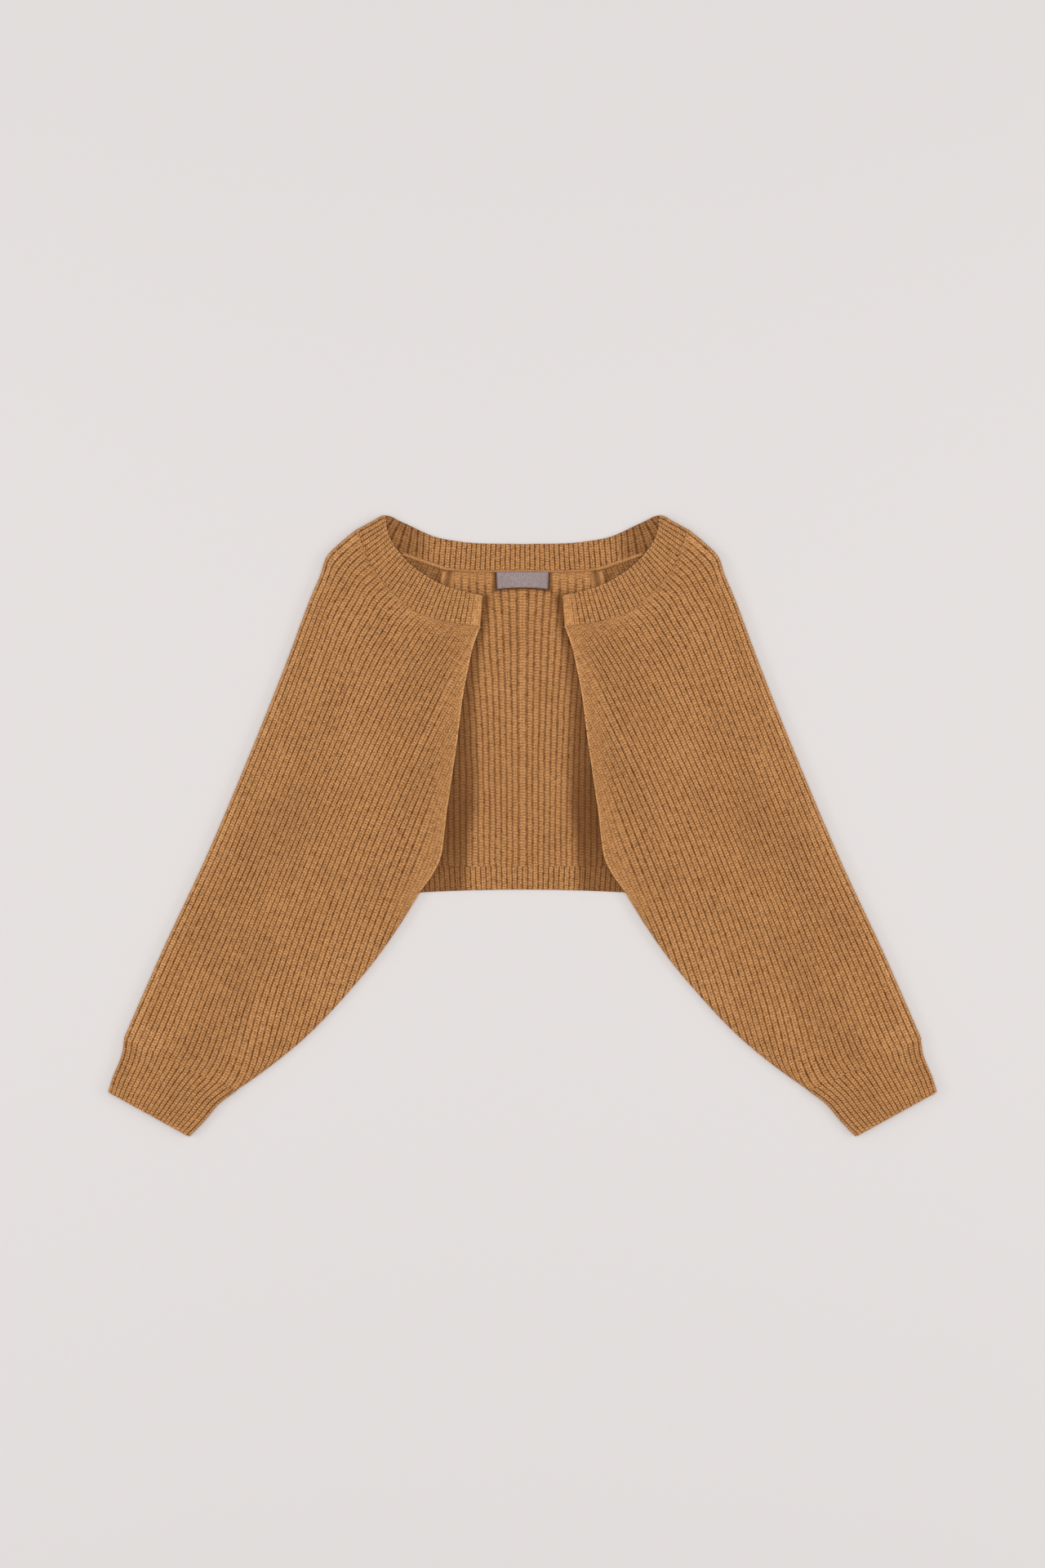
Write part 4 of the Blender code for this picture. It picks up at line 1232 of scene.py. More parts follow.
    def back_half(self, b: Array) -> ShellGrid:
        """The flat back half, from the raglan seam to the fold.

        Args:
            b: Shares up the sleeve.

        Returns:
            Its grid. Its inner side is the one that shows behind the neck.
        """
        p = np.linspace(1.0, 0.0, self.under_columns + 1)
        seam_side, fold_side = (self.under_plan(np.array(end), np.array(0.5)) for end in (1.0, 0.0))
        inset = 1 - SEAM_GAP / 2 / np.linalg.norm(seam_side - fold_side)
        p = np.broadcast_to(p * inset, (b.shape[0], p.size))
        b = np.broadcast_to(b[:, None], p.shape)
        plan = self.under_plan(p, b)
        up = np.array([-self.cuff_across[1], self.cuff_across[0]])
        ribs, courses = plan @ self.cuff_across / self.under_pitch, plan @ up / self.course
        underarm = np.where(p > self.under_cuff_share - 0.02, UNDERARM_CURVE.distance(plan), 1.0)
        curl = rounding(underarm, self.under_round) / self.under_round
        bottom = (WALL - 0.15 * MM) * curl
        # Painted shade behind the neck, where this side shows under the neckband, and beside the raglan
        # bar
        behind_neck = smooth_step((plan[..., 1] - 215 * MM) / (20 * MM))
        behind_neck = behind_neck * smooth_step((plan[..., 0] - 74 * MM) / (9 * MM))
        shade = behind_neck * (0.62 + 0.3 * soft_noise(ribs / 0.7, courses / 1.5, 17))
        beside_bar = (RAGLAN_CURVE.distance(plan) - 6.8 * MM) / (1.6 * MM)
        shade = shade + 0.4 * behind_neck * np.exp(-beside_bar * beside_bar)
        return ShellGrid(lifted(plan, bottom), lifted(plan, WALL), ribs, courses,
                         np.full(p.shape, 0.8), shade)

    def fold(self, b: Array, courses: Array) -> ShellGrid:
        """The cloth round the outer fold, from the back half up to the front half.

        Args:
            b: Shares up the sleeve.
            courses: Rows of stitches at those shares, as one column.

        Returns:
            Its grid.
        """
        centre, outward = self.fold_line(b)[:, None, :], self.fold_across(b)[:, None, :]
        outer, inner, rib = rolled(centre, outward, self.fold_angles, RIB)
        return ShellGrid(outer, inner, rib, np.broadcast_to(courses, rib.shape),
                         np.ones(rib.shape), np.full(rib.shape, self.fold_shade))

    def build(self, cloth: CardiganCloth, tail: bpy.types.Object) -> bpy.types.Object:
        """Build the piece in place of its CAD solid.

        Args:
            cloth: The cloths of the garment.
            tail: The end of yarn on its front edge; not used.

        Returns:
            The new piece.
        """
        front, shares_up = self.front_half()
        fold_shares = shares_up[:, 0]
        back, fold = self.back_half(fold_shares), self.fold(fold_shares, front.course[:, :1])
        grid = ShellGrid.joined(back, fold, front).mirrored(self.side)
        piece = shell_object(f"knit_sleeve_front_{self.side.word}", grid, cloth.body)
        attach(piece, "root")
        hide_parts(f"sleeve_front_{self.side.word}")
        return piece


@dataclass
class Cuff:
    """One cuff: a flattened ribbed tube that narrows to its open edge."""

    side: Side
    ribs: int = 20
    course: float = 2.7 * MM
    rows: int = 34
    fold_angles: tuple[float, ...] = (-72.0, -43.0, -14.0, 14.0, 43.0, 72.0)
    under_columns: int = 24
    rims_mm: tuple[float, ...] = (0.0, 0.25, 0.6, 1.1)
    lip_round: float = 1.0 * MM
    plain_edge: float = 6 * MM

    def build(self, cloth: CardiganCloth) -> bpy.types.Object:
        """Build the piece in place of its CAD solid.

        Args:
            cloth: The cloths of the garment.

        Returns:
            The new piece.
        """
        length = CUFF_OUTER_CURVE.length
        rim = np.array(self.rims_mm) * MM / length
        share = np.concatenate([SEAM_GAP / 2 / length + rim, np.linspace(0.03, 0.97, self.rows),
                                (1 - rim)[::-1]])
        start, end = CUFF_OUTER_CURVE.at(share), CUFF_INNER_CURVE.at(share)
        outward = (start - end) / np.linalg.norm(start - end, axis=-1, keepdims=True)
        start, end = start - outward * FOLD_RADIUS, end + outward * FOLD_RADIUS
        top_ribs = rib_columns(0, self.ribs, FULL_RIB)
        under_across = np.linspace(1.0, 0.0, self.under_columns + 1)
        start, end, outward = start[:, None, :], end[:, None, :], outward[:, None, :]
        top_plan, under_plan = (
            blend(start, end, np.broadcast_to(across, (share.size, across.size)))
            for across in (top_ribs / self.ribs, under_across))
        parts = [rolled(start, outward, self.fold_angles, FINE_RIB),
                 self.face(top_plan, top_ribs, upper=True),
                 rolled(end, -outward, self.fold_angles[::-1], FINE_RIB),
                 self.face(under_plan, under_across * self.ribs, upper=False)]
        outer, inner, rib = (np.concatenate([part[i] for part in parts], axis=1) for i in range(3))
        courses = np.broadcast_to((share * length / self.course)[:, None], rib.shape)
        edge = (1 - share)[:, None] * length
        lip, seam = rounding(edge, self.lip_round), rounding(share[:, None] * length, SEAM_ROUND)
        self.pinch(outer, lip + seam, inward=True)
        self.pinch(inner, lip * 0.8, inward=False)
        depth = np.broadcast_to(0.75 + 0.25 * smooth_step(edge / self.plain_edge), rib.shape)
        shade = 0.08 * soft_noise(rib / 4.0, courses / 12.0, 21)
        grid = ShellGrid(outer, inner, rib, courses, depth, shade, ring=True)
        piece = shell_object(f"knit_cuff_{self.side.word}", grid.mirrored(self.side), cloth.band)
        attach(piece, "root")
        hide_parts(f"cuff_{self.side.word}")
        return piece

    def face(self, plan: Array, ribs: Array, upper: bool) -> tuple[Array, Array, Array]:
        """The upper or the under side of the tube.

        Args:
            plan: Its plan points.
            ribs: The rib coordinate of each column.
            upper: Whether it is the upper side.

        Returns:
            The outer points, the inner points and their rib coordinates.
        """
        rib = np.broadcast_to(ribs, plan.shape[:-1])
        if upper:
            return (lifted(plan, 2 * FOLD_RADIUS + FINE_RIB * rib_profile(rib)),
                    lifted(plan, WALL + FOLD_GAP), rib)
        return lifted(plan, 0.0), lifted(plan, WALL), rib

    def pinch(self, points: Array, amount: Array, inward: bool) -> None:
        """Draw points up or down in their wall, so that a rim is round.

        Args:
            points: The points, which are moved.
            amount: How far each moves.
            inward: Whether they move towards the inside of the tube.
        """
        above = points[..., 2] > FOLD_RADIUS
        sign = np.where(above, -1.0, 1.0) if inward else np.where(above, 1.0, -1.0)
        moved = points[..., 2] + sign * amount
        points[..., 2] = np.maximum(moved, 0.0)


@dataclass
class BackPanel:
    """The back panel: upright ribs that lean outward up the garment, cut off by the raglan seams."""

    # Ribs from the centre line to a side, and how many of them the seam doesn't press together
    side_ribs: float = 17.5
    upright: float = 8.5
    # Width of a rib at the neck and at the hem, and how it grows up to the neck's height
    pitch_neck: float = 8.2 * MM
    pitch_hem: float = 5.95 * MM
    pitch_rise: float = 2.2
    neck_height: float = 245.0 * MM
    course: float = 3.0 * MM
    low_share: float = 0.08
    # Rows lie closer together near the neck, where the painted shade of the label and the seams lies
    fine_share: float = 0.88
    rows: int = 76
    fine_rows: int = 38
    rims_mm: tuple[float, ...] = (0.0, 0.25, 0.6, 1.2)
    edge_round: float = 0.6 * MM
    wander: float = 0.5 * MM
    plain_neck: float = 24 * MM
    # Painted shade under the neck seam, and how far it reaches
    neck_shade: float = 0.3
    neck_shade_width: float = 5 * MM

    def rib_place(self, rib: Array, y: Array, half_width: Array) -> tuple[Array, Array]:
        """Where a rib is at a height, and how much of its relief is left.

        Args:
            rib: Rib numbers from the centre line.
            y: Heights up the garment.
            half_width: Half the panel's width at those heights.

        Returns:
            Distance from the centre line, and the share of the relief.
        """
        opening = np.clip(y / self.neck_height, 0.0, 1.0) ** self.pitch_rise
        pitch = self.pitch_hem + (self.pitch_neck - self.pitch_hem) * opening
        # The middle rib is half as wide again
        steps = np.abs(rib) + 0.5 * np.minimum(np.abs(rib), 0.5)
        upright = self.upright + 0.25
        side_pitch = (half_width - upright * pitch) / (self.side_ribs - self.upright)
        inside = steps <= upright
        x = np.where(inside, steps * pitch, upright * pitch + (steps - upright) * side_pitch)
        return np.sign(rib) * x, np.where(inside, 1.0, smooth_step(side_pitch / pitch))

    def build(self, cloth: CardiganCloth, seams: list[bpy.types.Object]) -> bpy.types.Object:
        """Build the piece in place of its CAD solid.

        Args:
            cloth: The cloths of the garment.
            seams: The linked seams on it; not used.

        Returns:
            The new piece.
        """
        ribs = rib_columns(0, int(2 * self.side_ribs), FULL_RIB) - self.side_ribs
        length = RAGLAN_CURVE.length
        rim = (SEAM_GAP / 2 + np.array(self.rims_mm) * MM) / length
        body_rows = np.linspace(self.low_share + 0.01, self.fine_share, self.rows)
        fine_rows = np.linspace(self.fine_share, 0.99, self.fine_rows + 1)[1:]
        b = np.concatenate([self.low_share + rim, body_rows, fine_rows, (1 - rim)[::-1]])
        seam = RAGLAN_CURVE.at(b)
        rib, y = np.broadcast_arrays(ribs[None, :], seam[:, 1:])
        half_width = seam[:, :1] - SEAM_GAP / 2
        x, fade = self.rib_place(rib, y, half_width)
        neck = SEAM_BACK_CURVE.at(SEAM_BACK_CURVE.share_at_x(np.abs(x[-1])))[:, 1]
        rise = (neck - RAGLAN_CURVE.at(1.0)[1])[None, :] * smooth_step((b - 0.8) / 0.2)[:, None]
        y = y + rise
        wander = self.wander * soft_noise(rib / 1.6 + 30, y / (26 * MM) + 30, 3)
        x = x + wander * smooth_step((half_width - np.abs(x)) / (6 * MM))
        plan = np.stack([x, y], axis=-1)
        courses = arc_lengths(plan) / self.course
        neck_distance = (neck[None, :] - y) + 0.15 * MM
        depth = fade * (0.45 + 0.55 * smooth_step(neck_distance / self.plain_neck))
        rib = rib + 0.5
        relief = RIB * rib_profile(rib) * depth * (1 + 0.2 * soft_noise(rib / 1.5, courses / 7.0, 4))
        top = WALL + relief - rounding(neck_distance, self.edge_round)
        # Painted shade beside the front edges, under the neck seam, beside the raglan bars and under
        # the label, over a random tone
        shade = self.front_edge_shade(plan) + 0.08 * soft_noise(rib / 4.0, courses / 10.0, 31)
        shade = shade + self.neck_shade * np.exp(-((neck_distance / self.neck_shade_width) ** 2))
        shade = shade + self.bar_shade(plan) + NeckLabel().shadow(plan)
        grid = ShellGrid(lifted(plan, top), lifted(plan, 0.0), rib, courses, depth, shade)
        piece = shell_object("knit_back_panel", grid, cloth.back)
        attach(piece, "root")
        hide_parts("back_panel")
        return piece

    @staticmethod
    def front_edge_shade(plan: Array) -> Array:
        """The painted shade on the back beside and under the two front edges.

        Args:
            plan: Plan points.

        Returns:
            The shade of each.
        """
        x, y = np.abs(plan[..., 0]), plan[..., 1]
        heights, *columns = np.array(EDGE_SHADE).T
        middle, level, width = (np.interp(y / MM, heights, column) for column in columns)
        across = smooth_step((x / MM - middle) / width + 0.5)
        return level * across * smooth_step((248 * MM - y) / (12 * MM))

    @staticmethod
    def bar_shade(plan: Array) -> Array:
        """The painted shade of a deep fold of cloth along the inner side of each raglan seam, behind
        the neck.
        """
        beside = (RAGLAN_CURVE.distance(np.abs(plan)) - 4.0 * MM) / (2.8 * MM)
        return 0.8 * np.exp(-beside * beside) * smooth_step((plan[..., 1] - 225 * MM) / (15 * MM))


@dataclass
class HemBand:
    """The fine ribbed band along the back panel's lower edge."""

    ribs: int = 40
    course: float = 2.7 * MM
    top_share: float = 0.08
    rows: int = 12
    rims_mm: tuple[float, ...] = (0.0, 0.3, 0.7, 1.2)

    def build(self, cloth: CardiganCloth) -> bpy.types.Object:
        """Build the piece in place of its CAD solid.

        Args:
            cloth: The cloths of the garment.

        Returns:
            The new piece.
        """
        ribs = rib_columns(-self.ribs // 2, self.ribs // 2, FULL_RIB)
        share = ribs / (self.ribs / 2)
        top, bottom = RAGLAN_CURVE.at(self.top_share), RAGLAN_CURVE.at(0.0)
        depth_mm = (top[1] - HEM_EDGE_Y) / MM
        rim = np.array(self.rims_mm) / depth_mm
        down = np.concatenate([SEAM_GAP / 2 / MM / depth_mm + rim, np.linspace(0.1, 0.9, self.rows),
                               (1 - rim)[::-1]])[:, None]
        half_width = (top[0] + (bottom[0] - top[0]) * down) - SEAM_GAP / 2
        lower = HEM_EDGE_Y + (bottom[1] - HEM_EDGE_Y) * share**2
        x = half_width * share
        y = top[1] + (lower[None, :] - top[1]) * down
        plan = np.stack([x, y], axis=-1)
        rib = np.broadcast_to(ribs, x.shape)
        courses = -arc_lengths(plan) / self.course
        edge = y - lower[None, :]
        relief = FINE_RIB * rib_profile(rib) * (1 + 0.2 * soft_noise(rib / 1.5, courses / 5.0, 6))
        height = WALL + relief - rounding(edge, WALL * 0.8) - rounding(top[1] - y, SEAM_ROUND)
        # The painted shade beside the front edges runs on over the band
        shade = BackPanel.front_edge_shade(plan)
        grid = ShellGrid(lifted(plan, height), lifted(plan, 0.0), rib, courses, np.ones(x.shape), shade)
        piece = shell_object("knit_hem_band", grid, cloth.band)
        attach(piece, "root")
        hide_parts("hem_band")
        return piece


@dataclass
class Neckband:
    """The neckband: one strip that lies low behind the neck and folds over at both shoulders."""

    front_ribs: int = 32
    back_ribs: int = 26
    # Share of the back's ribs from the shoulder, share of the length of its free edge and of its seam
    back_edge_ends: Table = (
        (0.0, 0.0), (0.21, 0.255), (0.365, 0.427), (0.52, 0.578), (0.673, 0.712), (0.827, 0.848),
        (1.0, 1.0),
    )
    back_seam_ends: Table = (
        (0.0, 0.0), (0.1, 0.192), (0.21, 0.364), (0.365, 0.505), (0.52, 0.635), (0.673, 0.751),
        (0.827, 0.869), (1.0, 1.0),
    )
    course: float = 2.7 * MM
    rows: int = 10
    width_mm: float = 28.0
    rims_mm: tuple[float, ...] = (0.0, 0.3, 0.7, 1.2)
    plain_end: float = 14.0 * MM
    corner_reach: float = 12.0 * MM
    fold_angles: tuple[float, ...] = (72.0, 43.0, 14.0, -14.0, -43.0, -72.0)

    def front_part(self, down: Array, sleeve: SleeveFront) -> ShellGrid:
        """The left front part, from its end at the front edge to the shoulder.

        Args:
            down: Shares from the free edge, 0, to the seam, 1.
            sleeve: The sleeve-front whose neck edge it lies level with.

        Returns:
            Its grid. Its outer side is the one that shows.
        """
        ribs = rib_columns(0, self.front_ribs, SLIM_RIB)[::-1]
        share = ribs / self.front_ribs
        plan = self.softened(self.strip(BAND_FRONT_CURVE.at(share), SEAM_FRONT_CURVE.at(share), down))
        rib = np.broadcast_to(ribs, plan.shape[:-1])
        end = (1 - rib / self.front_ribs) * SEAM_FRONT_CURVE.length
        depth = 0.25 + 0.75 * smooth_step((end - 4 * MM) / self.plain_end)
        floor = WALL + sleeve.gap(share * sleeve.neck_share, np.ones(share.shape))[None, :]
        floor = np.broadcast_to(floor, rib.shape)
        relief = FINE_RIB * (rib_profile(rib) * depth + 0.5 * (1 - depth))
        edge, seam = self.edges(plan, BAND_FRONT_CURVE, SEAM_FRONT_CURVE)
        top = floor + WALL + relief - rounding(edge, WALL * 0.6) - rounding(seam, SEAM_ROUND)
        top = top - rounding(end, WALL * 0.5)
        low = np.minimum(floor + rounding(edge, WALL * 0.35), top - THINNEST)
        # A painted highlight over all of it, strongest along its free edge
        pale = -0.04 - 0.35 * smooth_step(1 - edge / (2 * MM))
        return ShellGrid(lifted(plan, top), lifted(plan, low), rib, self.across(plan), depth, pale)

    def shoulder_fold(self, down: Array) -> ShellGrid:
        """The cloth round the left shoulder fold, from the front part down to the back part.

        Args:
            down: Shares from the free edge, 0, to the seam, 1.

        Returns:
            Its grid.
        """
        centre = self.strip(BAND_FRONT_CURVE.at(np.zeros(1)), SEAM_FRONT_CURVE.at(np.zeros(1)), down)
        centre = self.softened(centre)
        outer, inner, rib = rolled(centre, SHOULDER_ACROSS, self.fold_angles, FINE_RIB)
        return ShellGrid(outer, inner, rib, np.broadcast_to(self.across(centre), rib.shape),
                         np.ones(rib.shape), np.zeros(rib.shape))

    def back_part(self, down: Array) -> ShellGrid:
        """The left half of the back part, from the shoulder to the centre back.

        Args:
            down: Shares from the free edge, 0, to the seam, 1.

        Returns:
            Its grid. Its inner side is the one that shows, because it lies on its outer side.
        """
        # The middle of a rib lies on the shoulder fold, and another on the centre line
        ribs = rib_columns(0, self.back_ribs + 1, FULL_RIB)
        ribs = ribs[(ribs >= 0.5) & (ribs <= self.back_ribs + 0.5)]
        share = (ribs - 0.5) / self.back_ribs
        plan = self.strip(BAND_BACK_CURVE.at(eased(self.back_edge_ends, share)),
                          SEAM_BACK_CURVE.at(eased(self.back_seam_ends, share)), down)
        rib = np.broadcast_to(ribs, plan.shape[:-1])
        edge, seam = self.edges(plan, BAND_BACK_CURVE, SEAM_BACK_CURVE)
        relief = FINE_RIB * 1.15 * rib_profile(rib)
        top = WALL + relief - rounding(edge, WALL * 0.8) - rounding(seam, 0.5 * MM)
        # Painted shade towards the shoulders, in the gap beside the front part
        shade = 0.6 * smooth_step((plan[..., 0] - 88 * MM) / (30 * MM))
        # Its stitches differ from those of the front part, whose numbers are all below 100
        return ShellGrid(lifted(plan, 0.0), lifted(plan, top), rib + 100, self.across(plan),
                         np.ones(rib.shape), shade)

    def strip(self, edge: Array, seam: Array, down: Array) -> Array:
        """Plan points between the free edge and the seam, which keeps half its gap.

        Args:
            edge: Points of the free edge.
            seam: Points of the seam, one for each.
            down: Shares from the free edge to the seam.

        Returns:
            The points, row by row from the free edge.
        """
        away = edge - seam
        away = away / np.linalg.norm(away, axis=-1, keepdims=True)
        seam = seam + away * SEAM_GAP / 2
        return blend(edge[None, :, :], seam[None, :, :],
                     np.broadcast_to(down[:, None], (down.size, len(edge))))

    def softened(self, plan: Array) -> Array:
        """Plan points with the shoulder corner of the free edge drawn in and rounded.

        Args:
            plan: The points.

        Returns:
            The moved points.
        """
        corner = BAND_FRONT_CURVE.at(0.0)
        along = SEAM_FRONT_CURVE.at(0.0) - corner
        depth = (plan - corner) @ (along / np.linalg.norm(along)) / self.corner_reach
        inward = 1 - np.clip(depth, 0.0, 1.0)
        away = (plan - corner) @ SHOULDER_ACROSS / (10 * MM)
        pull = 1.3 * MM * (1 - np.sqrt(1 - inward**4 * 0.98)) - 1.4 * MM * inward * (1 - inward)
        pull = pull * np.exp(-away * away)
        return plan - SHOULDER_ACROSS * pull[..., None]

    def edges(self, plan: Array, edge: PlanCurve, seam: PlanCurve) -> tuple[Array, Array]:
        """Distances of plan points from the free edge and from the seam."""
        return edge.distance(plan), np.maximum(seam.distance(plan) - SEAM_GAP / 2, 0.0)

    def across(self, plan: Array) -> Array:
        """Rows of stitches, counted from the free edge."""
        return arc_lengths(plan) / self.course

    def build(self, cloth: CardiganCloth) -> bpy.types.Object:
        """Build the piece in place of its CAD solid.

        Args:
            cloth: The cloths of the garment.

        Returns:
            The new piece.
        """
        rim = np.array(self.rims_mm) / self.width_mm
        down = np.concatenate([rim, np.linspace(0.09, 0.91, self.rows), (1 - rim)[::-1]])
        left = ShellGrid.joined(self.front_part(down, SleeveFront(Side.LEFT)),
                                self.shoulder_fold(down), self.back_part(down))
        grid = ShellGrid.joined(left, left.mirrored(Side.RIGHT).turned())
        piece = shell_object("knit_neckband", grid, cloth.band)
        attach(piece, "root")
        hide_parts("neckband")
        return piece


@dataclass
class NeckLabel:
    """The bare woven neck label under the back neckband."""

    width: float = 55.0 * MM
    drop: float = 18.9 * MM
    below_seam: float = 1.5 * MM
    thickness: float = 0.8 * MM
    bow: float = 1.7 * MM
    taper: float = 0.03
    columns: int = 44
    rows: int = 16
    ripple: float = 0.12 * MM
    # The width of its darker rim, and the reach and depth of the painted shadow that it puts on the
    # back
    rim_tone_width: float = 1.0 * MM
    shadow_width: float = 2.6 * MM
    shadow_level: float = 1.3

    @property
    def top_y(self) -> float:
        """The height of its upper edge, just below the neck seam."""
        return SEAM_BACK_CURVE.at(1.0)[1] - self.below_seam

    def build(self, cloth: CardiganCloth) -> bpy.types.Object:
        """Build the piece in place of its CAD solid.

        Args:
            cloth: The cloths of the garment.

        Returns:
            The new piece.
        """
        floor = WALL + RIB + SEAM_GAP
        edge = np.array([0.0, 0.004, 0.012])
        across = np.concatenate([edge, np.linspace(0.03, 0.97, self.columns), (1 - edge)[::-1]])
        down = np.concatenate([edge * 3, np.linspace(0.08, 0.92, self.rows), (1 - edge * 3)[::-1]])
        side, drop = np.meshgrid(2 * across - 1, down)
        bow = self.bow * (1 - side * side) * drop
        plan = np.stack([self.width / 2 * side * (1 - self.taper * drop),
                         self.top_y - self.drop * drop + bow], axis=-1)
        rim = np.minimum((1 - np.abs(side)) * self.width / 2, np.minimum(drop, 1 - drop) * self.drop)
        ripple = self.ripple * np.sin(side * 9.0) * drop
        top = floor + self.thickness + ripple - rounding(rim, self.thickness * 0.5)
        low = floor + ripple + rounding(rim, self.thickness * 0.3)
        # Darker along the rim and a little paler down the middle
        rim_tone = 0.8 * np.exp(-((rim / self.rim_tone_width) ** 2)) - 0.1 * np.exp(-((side / 0.5) ** 2))
        grid = ShellGrid(lifted(plan, top), lifted(plan, low), side, drop, np.zeros(side.shape), rim_tone)
        piece = shell_object("woven_neck_label", grid, cloth.ribbon)
        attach(piece, "root")
        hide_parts("neck_label")
        return piece

    def shadow(self, plan: Array) -> Array:
        """The painted shadow of the label on the cloth just below and beside it.

        Args:
            plan: Plan points of the back panel.

        Returns:
            The shade of each.
        """
        x, y = np.abs(plan[..., 0]) / (self.width / 2), plan[..., 1]
        edge = self.top_y - self.drop + self.bow * (1 - np.minimum(x, 1.0) ** 2)
        below = np.maximum(edge - y, 0.0)
        beside = np.maximum(x - 1.0, 0.0) * self.width / 2
        distance = np.hypot(below, beside) / self.shadow_width
        under = smooth_step((self.top_y + 1 * MM - y) / (2 * MM))
        return self.shadow_level * np.exp(-distance * distance) * under


@dataclass
class LinkedSeam:
    """A raised line of linking stitches along a seam on the inside of the back."""

    name: str
    slot: str
    course: float
    width: float
    rise: float
    widening: float = 0.0
    base: float = WALL + 0.3 * MM
    columns: int = 13

    def build(self, centre: Array, cloth: CardiganCloth) -> bpy.types.Object:
        """Build the ridge.

        Args:
            centre: Plan points along its middle, evenly spaced.
            cloth: The cloths of the garment.

        Returns:
            The new piece.
        """
        along = np.gradient(centre, axis=0)
        square = quarter_turn(along)
        arc = arc_lengths(centre[:, None, :])
        stitch = arc / self.course
        place = np.linspace(-1.0, 1.0, self.columns)[None, :]
        bead = 0.86 + 0.14 * np.cos(2 * math.pi * (stitch + 0.25 * place))
        half = self.width / 2 * (0.94 + 0.06 * soft_noise(stitch / 3.0, stitch * 0 + 7.3, 15)) * bead
        half = half * (1 + self.widening * smooth_step((np.abs(centre[:, :1]) - 70 * MM) / (15 * MM)))
        plan = centre[:, None, :] + square[:, None, :] * (half * place)[..., None]
        round_top = np.sqrt(np.clip(1 - place * place, 0.0, 1.0))
        pair = 1 - 0.22 * np.exp(-(place / 0.2) ** 2)
        end = smooth_step(np.minimum(arc, arc[-1] - arc) / (2 * MM) + 0.15)
        top = self.base + self.rise * round_top * bead * pair * end + 0.05 * MM
        low = np.full(plan.shape[:-1], self.base - 0.2 * MM)
        rib = np.broadcast_to(place * 0.98, top.shape) + 0.5
        # Painted shade down both flanks of the ridge
        shade = np.broadcast_to(np.abs(place) ** 6 + 0.02, top.shape)
        grid = ShellGrid(lifted(plan, top), lifted(plan, low), rib, np.broadcast_to(stitch, top.shape),
                         np.full(top.shape, 0.3), shade)
        piece = shell_object(self.name, grid, cloth.band)
        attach(piece, "root")
        return piece


@dataclass
class InsideSeams:
    """The linked seams that show inside the back: along the neckband and down each raglan."""

    neck_reach: float = 126.0 * MM
    raglan_share: float = 0.84
    spacing: float = 0.45 * MM
    course: float = 3.0 * MM
    neck_width: float = 2.9 * MM
    neck_rise: float = 1.7 * MM
    raglan_width: float = 7.0 * MM
    raglan_rise: float = 1.9 * MM

    def build(self, cloth: CardiganCloth) -> list[bpy.types.Object]:
        """Build the three ridges.

        Args:
            cloth: The cloths of the garment.

        Returns:
            The new pieces.
        """
        start = float(SEAM_BACK_CURVE.share_at_x(np.array(self.neck_reach)))
        left = SEAM_BACK_CURVE.at(self.steps(start, 1.0, SEAM_BACK_CURVE.length))
        right = left[-2::-1] * np.array([-1.0, 1.0])
        below = np.array([0.0, 0.9 * MM])
        neck = LinkedSeam("knit_neck_linking", "neckband_wool", self.course, self.neck_width,
                          self.neck_rise, widening=0.7)
        pieces = [neck.build(np.vstack([left, right]) - below, cloth)]
        for side in Side:
            raglan = LinkedSeam(f"knit_raglan_linking_{side.word}", "back_panel_wool", self.course,
                                self.raglan_width, self.raglan_rise)
            shares = self.steps(self.raglan_share, 0.99, RAGLAN_CURVE.length)
            centre = (RAGLAN_CURVE.at(shares) + np.array([1.7 * MM, 0.0])) * np.array([side.value, 1.0])
            pieces.append(raglan.build(centre, cloth))
        return pieces

    def steps(self, start: float, end: float, length: float) -> Array:
        """Even shares of a curve of this length, close enough for the stitches."""
        return np.linspace(start, end, int((end - start) * length / self.spacing))


@dataclass
class YarnTail:
    """The end of yarn that sticks out where the front edge meets the neckband."""

    side: Side
    root_mm: tuple[float, float] = (49.0, 199.0)
    run: tuple[float, float] = (-0.66, 0.75)
    bend: tuple[float, float] = (0.75, 0.66)
    bow: float = 1.5 * MM
    length: float = 10.5 * MM
    radius: float = 0.9 * MM
    sides: int = 10
    steps: int = 24
    # How much paler it is, as a painted highlight
    glow: float = 0.6

    def build(self, cloth: CardiganCloth) -> bpy.types.Object:
        """Build the tail.

        Args:
            cloth: The cloths of the garment.

        Returns:
            The new piece.
        """
        share = np.linspace(0.0, 1.0, self.steps)[:, None]
        root, run, bend = np.array(self.root_mm) * MM, np.array(self.run), np.array(self.bend)
        middle = root + run * self.length * share + bend * self.bow * np.sin(math.pi * share)
        middle = lifted(middle, 2 * WALL + FRONT_EDGE_GAP - 0.2 * MM - 1.6 * MM * share[:, 0])
        turn = np.linspace(0.0, 2 * math.pi, self.sides + 1)[:-1][None, :]
        radius = self.radius * (1 - 0.75 * share**1.5) * (1 + 0.15 * np.sin(share * 40 + turn))
        square = np.array([*bend, 0.0])
        ring = np.cos(turn)[..., None] * square + np.sin(turn)[..., None] * np.array([0.0, 0.0, 1.0])
        outer = middle[:, None, :] + ring * radius[..., None]
        inner = middle[:, None, :] + ring * (radius * 0.3)[..., None]
        zero = np.zeros(radius.shape)
        grid = ShellGrid(outer, inner, zero + turn / 2, zero + share * 3, zero, zero - self.glow,
                         ring=True)
        piece = shell_object(f"wool_yarn_tail_{self.side.word}", grid.mirrored(self.side), cloth.body)
        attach(piece, "root")
        return piece


# Studio


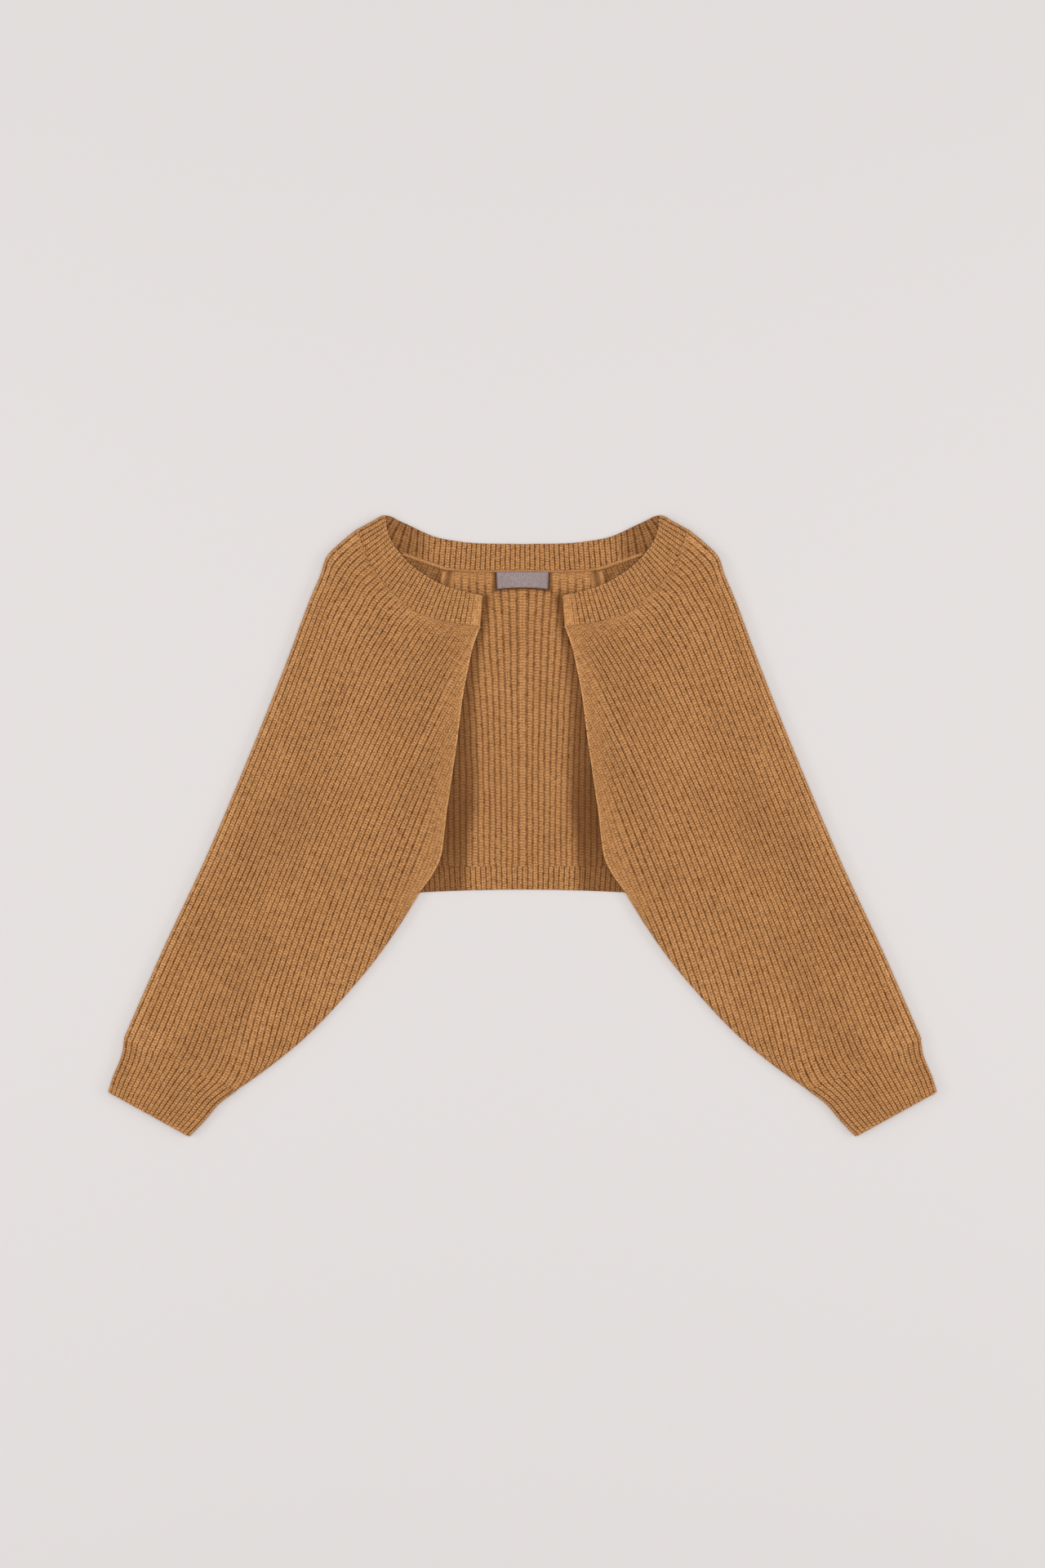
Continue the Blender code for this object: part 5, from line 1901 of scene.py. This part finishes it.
@dataclass
class Studio:
    """The floor, the lights and the camera straight above."""

    camera_height: float = 3.0
    floor_size: float = 6.0
    floor_drop: float = 0.3 * MM
    garment_height: float = 6.0 * MM
    overhead_power: float = 90.0
    side_power: float = 24.0
    sky_strength: float = 0.43

    def build(self) -> None:
        """Build all of it."""
        # Colours show as they are set, without a film look
        bpy.context.scene.view_settings.view_transform = "Standard"
        self.add_floor()
        self.add_camera()
        self.add_area("overhead_softbox", (0.0, 0.15, 4.0), 4.0, 4.0, self.overhead_power)
        for side in Side:
            self.add_area(f"side_softbox_{side.word}", (3.0 * side.value, 0.0, 1.5), 3.0, 0.8,
                          self.side_power)
        self.add_sky(self.sky_strength)

    def add_floor(self) -> None:
        """Lay the pale floor just under the cardigan."""
        half = self.floor_size / 2
        mesh = bpy.data.meshes.new("floor")
        corners = [(-half, -half, -self.floor_drop), (half, -half, -self.floor_drop),
                   (half, half, -self.floor_drop), (-half, half, -self.floor_drop)]
        mesh.from_pydata(corners, [], [(0, 1, 2, 3)])
        mesh.materials.append(PaperFloor().make())
        floor = bpy.data.objects.new("floor", mesh)
        bpy.context.scene.collection.objects.link(floor)

    def add_camera(self) -> None:
        """Look straight down, with the photograph's frame at the height of the garment's top."""
        lens = bpy.data.cameras.new("camera")
        lens.sensor_width = 36.0
        frame_height = PHOTO_HEIGHT_PX * MM_PER_PX * MM
        lens.lens = lens.sensor_width * (self.camera_height - self.garment_height) / frame_height
        camera = bpy.data.objects.new("camera", lens)
        camera.location = (0.0, FRAME_CENTRE_Y, self.camera_height)
        bpy.context.scene.collection.objects.link(camera)
        bpy.context.scene.camera = camera

    def add_area(self, name: str, place: tuple[float, float, float], width: float, height: float,
                 power: float) -> None:
        """Add one soft area light that points at the middle of the garment.

        Args:
            name: Name of the light.
            place: Where it is.
            width: Its width.
            height: Its height.
            power: Its power in watts.
        """
        light = bpy.data.lights.new(name, "AREA")
        light.shape = "RECTANGLE"
        light.size, light.size_y = width, height
        light.energy = power
        lamp = bpy.data.objects.new(name, light)
        lamp.location = place
        lamp.rotation_euler = lamp.location.to_track_quat("Z", "Y").to_euler()
        bpy.context.scene.collection.objects.link(lamp)

    def add_sky(self, strength: float) -> None:
        """Fill from all round with an even pale light.

        Args:
            strength: How bright it is.
        """
        world = bpy.data.worlds.new("soft_fill")
        world.use_nodes = True
        background = world.node_tree.nodes["Background"]
        background.inputs["Color"].default_value = linear_colour("F4F2F0")
        background.inputs["Strength"].default_value = strength
        bpy.context.scene.world = world


def main() -> None:
    """Build the studio and every piece of the cardigan."""
    logging.basicConfig(level=logging.INFO, format="%(message)s")
    Studio().build()
    cloth = CardiganCloth()
    seams = InsideSeams().build(cloth)
    pieces = [*seams, BackPanel().build(cloth, seams), HemBand().build(cloth), Neckband().build(cloth),
              NeckLabel().build(cloth)]
    for side in Side:
        tail = YarnTail(side).build(cloth)
        pieces += [tail, SleeveFront(side).build(cloth, tail), Cuff(side).build(cloth)]
    for piece in pieces:
        LOG.info("%s: %d faces", piece.name, len(piece.data.polygons))


if __name__ == "__main__":
    main()
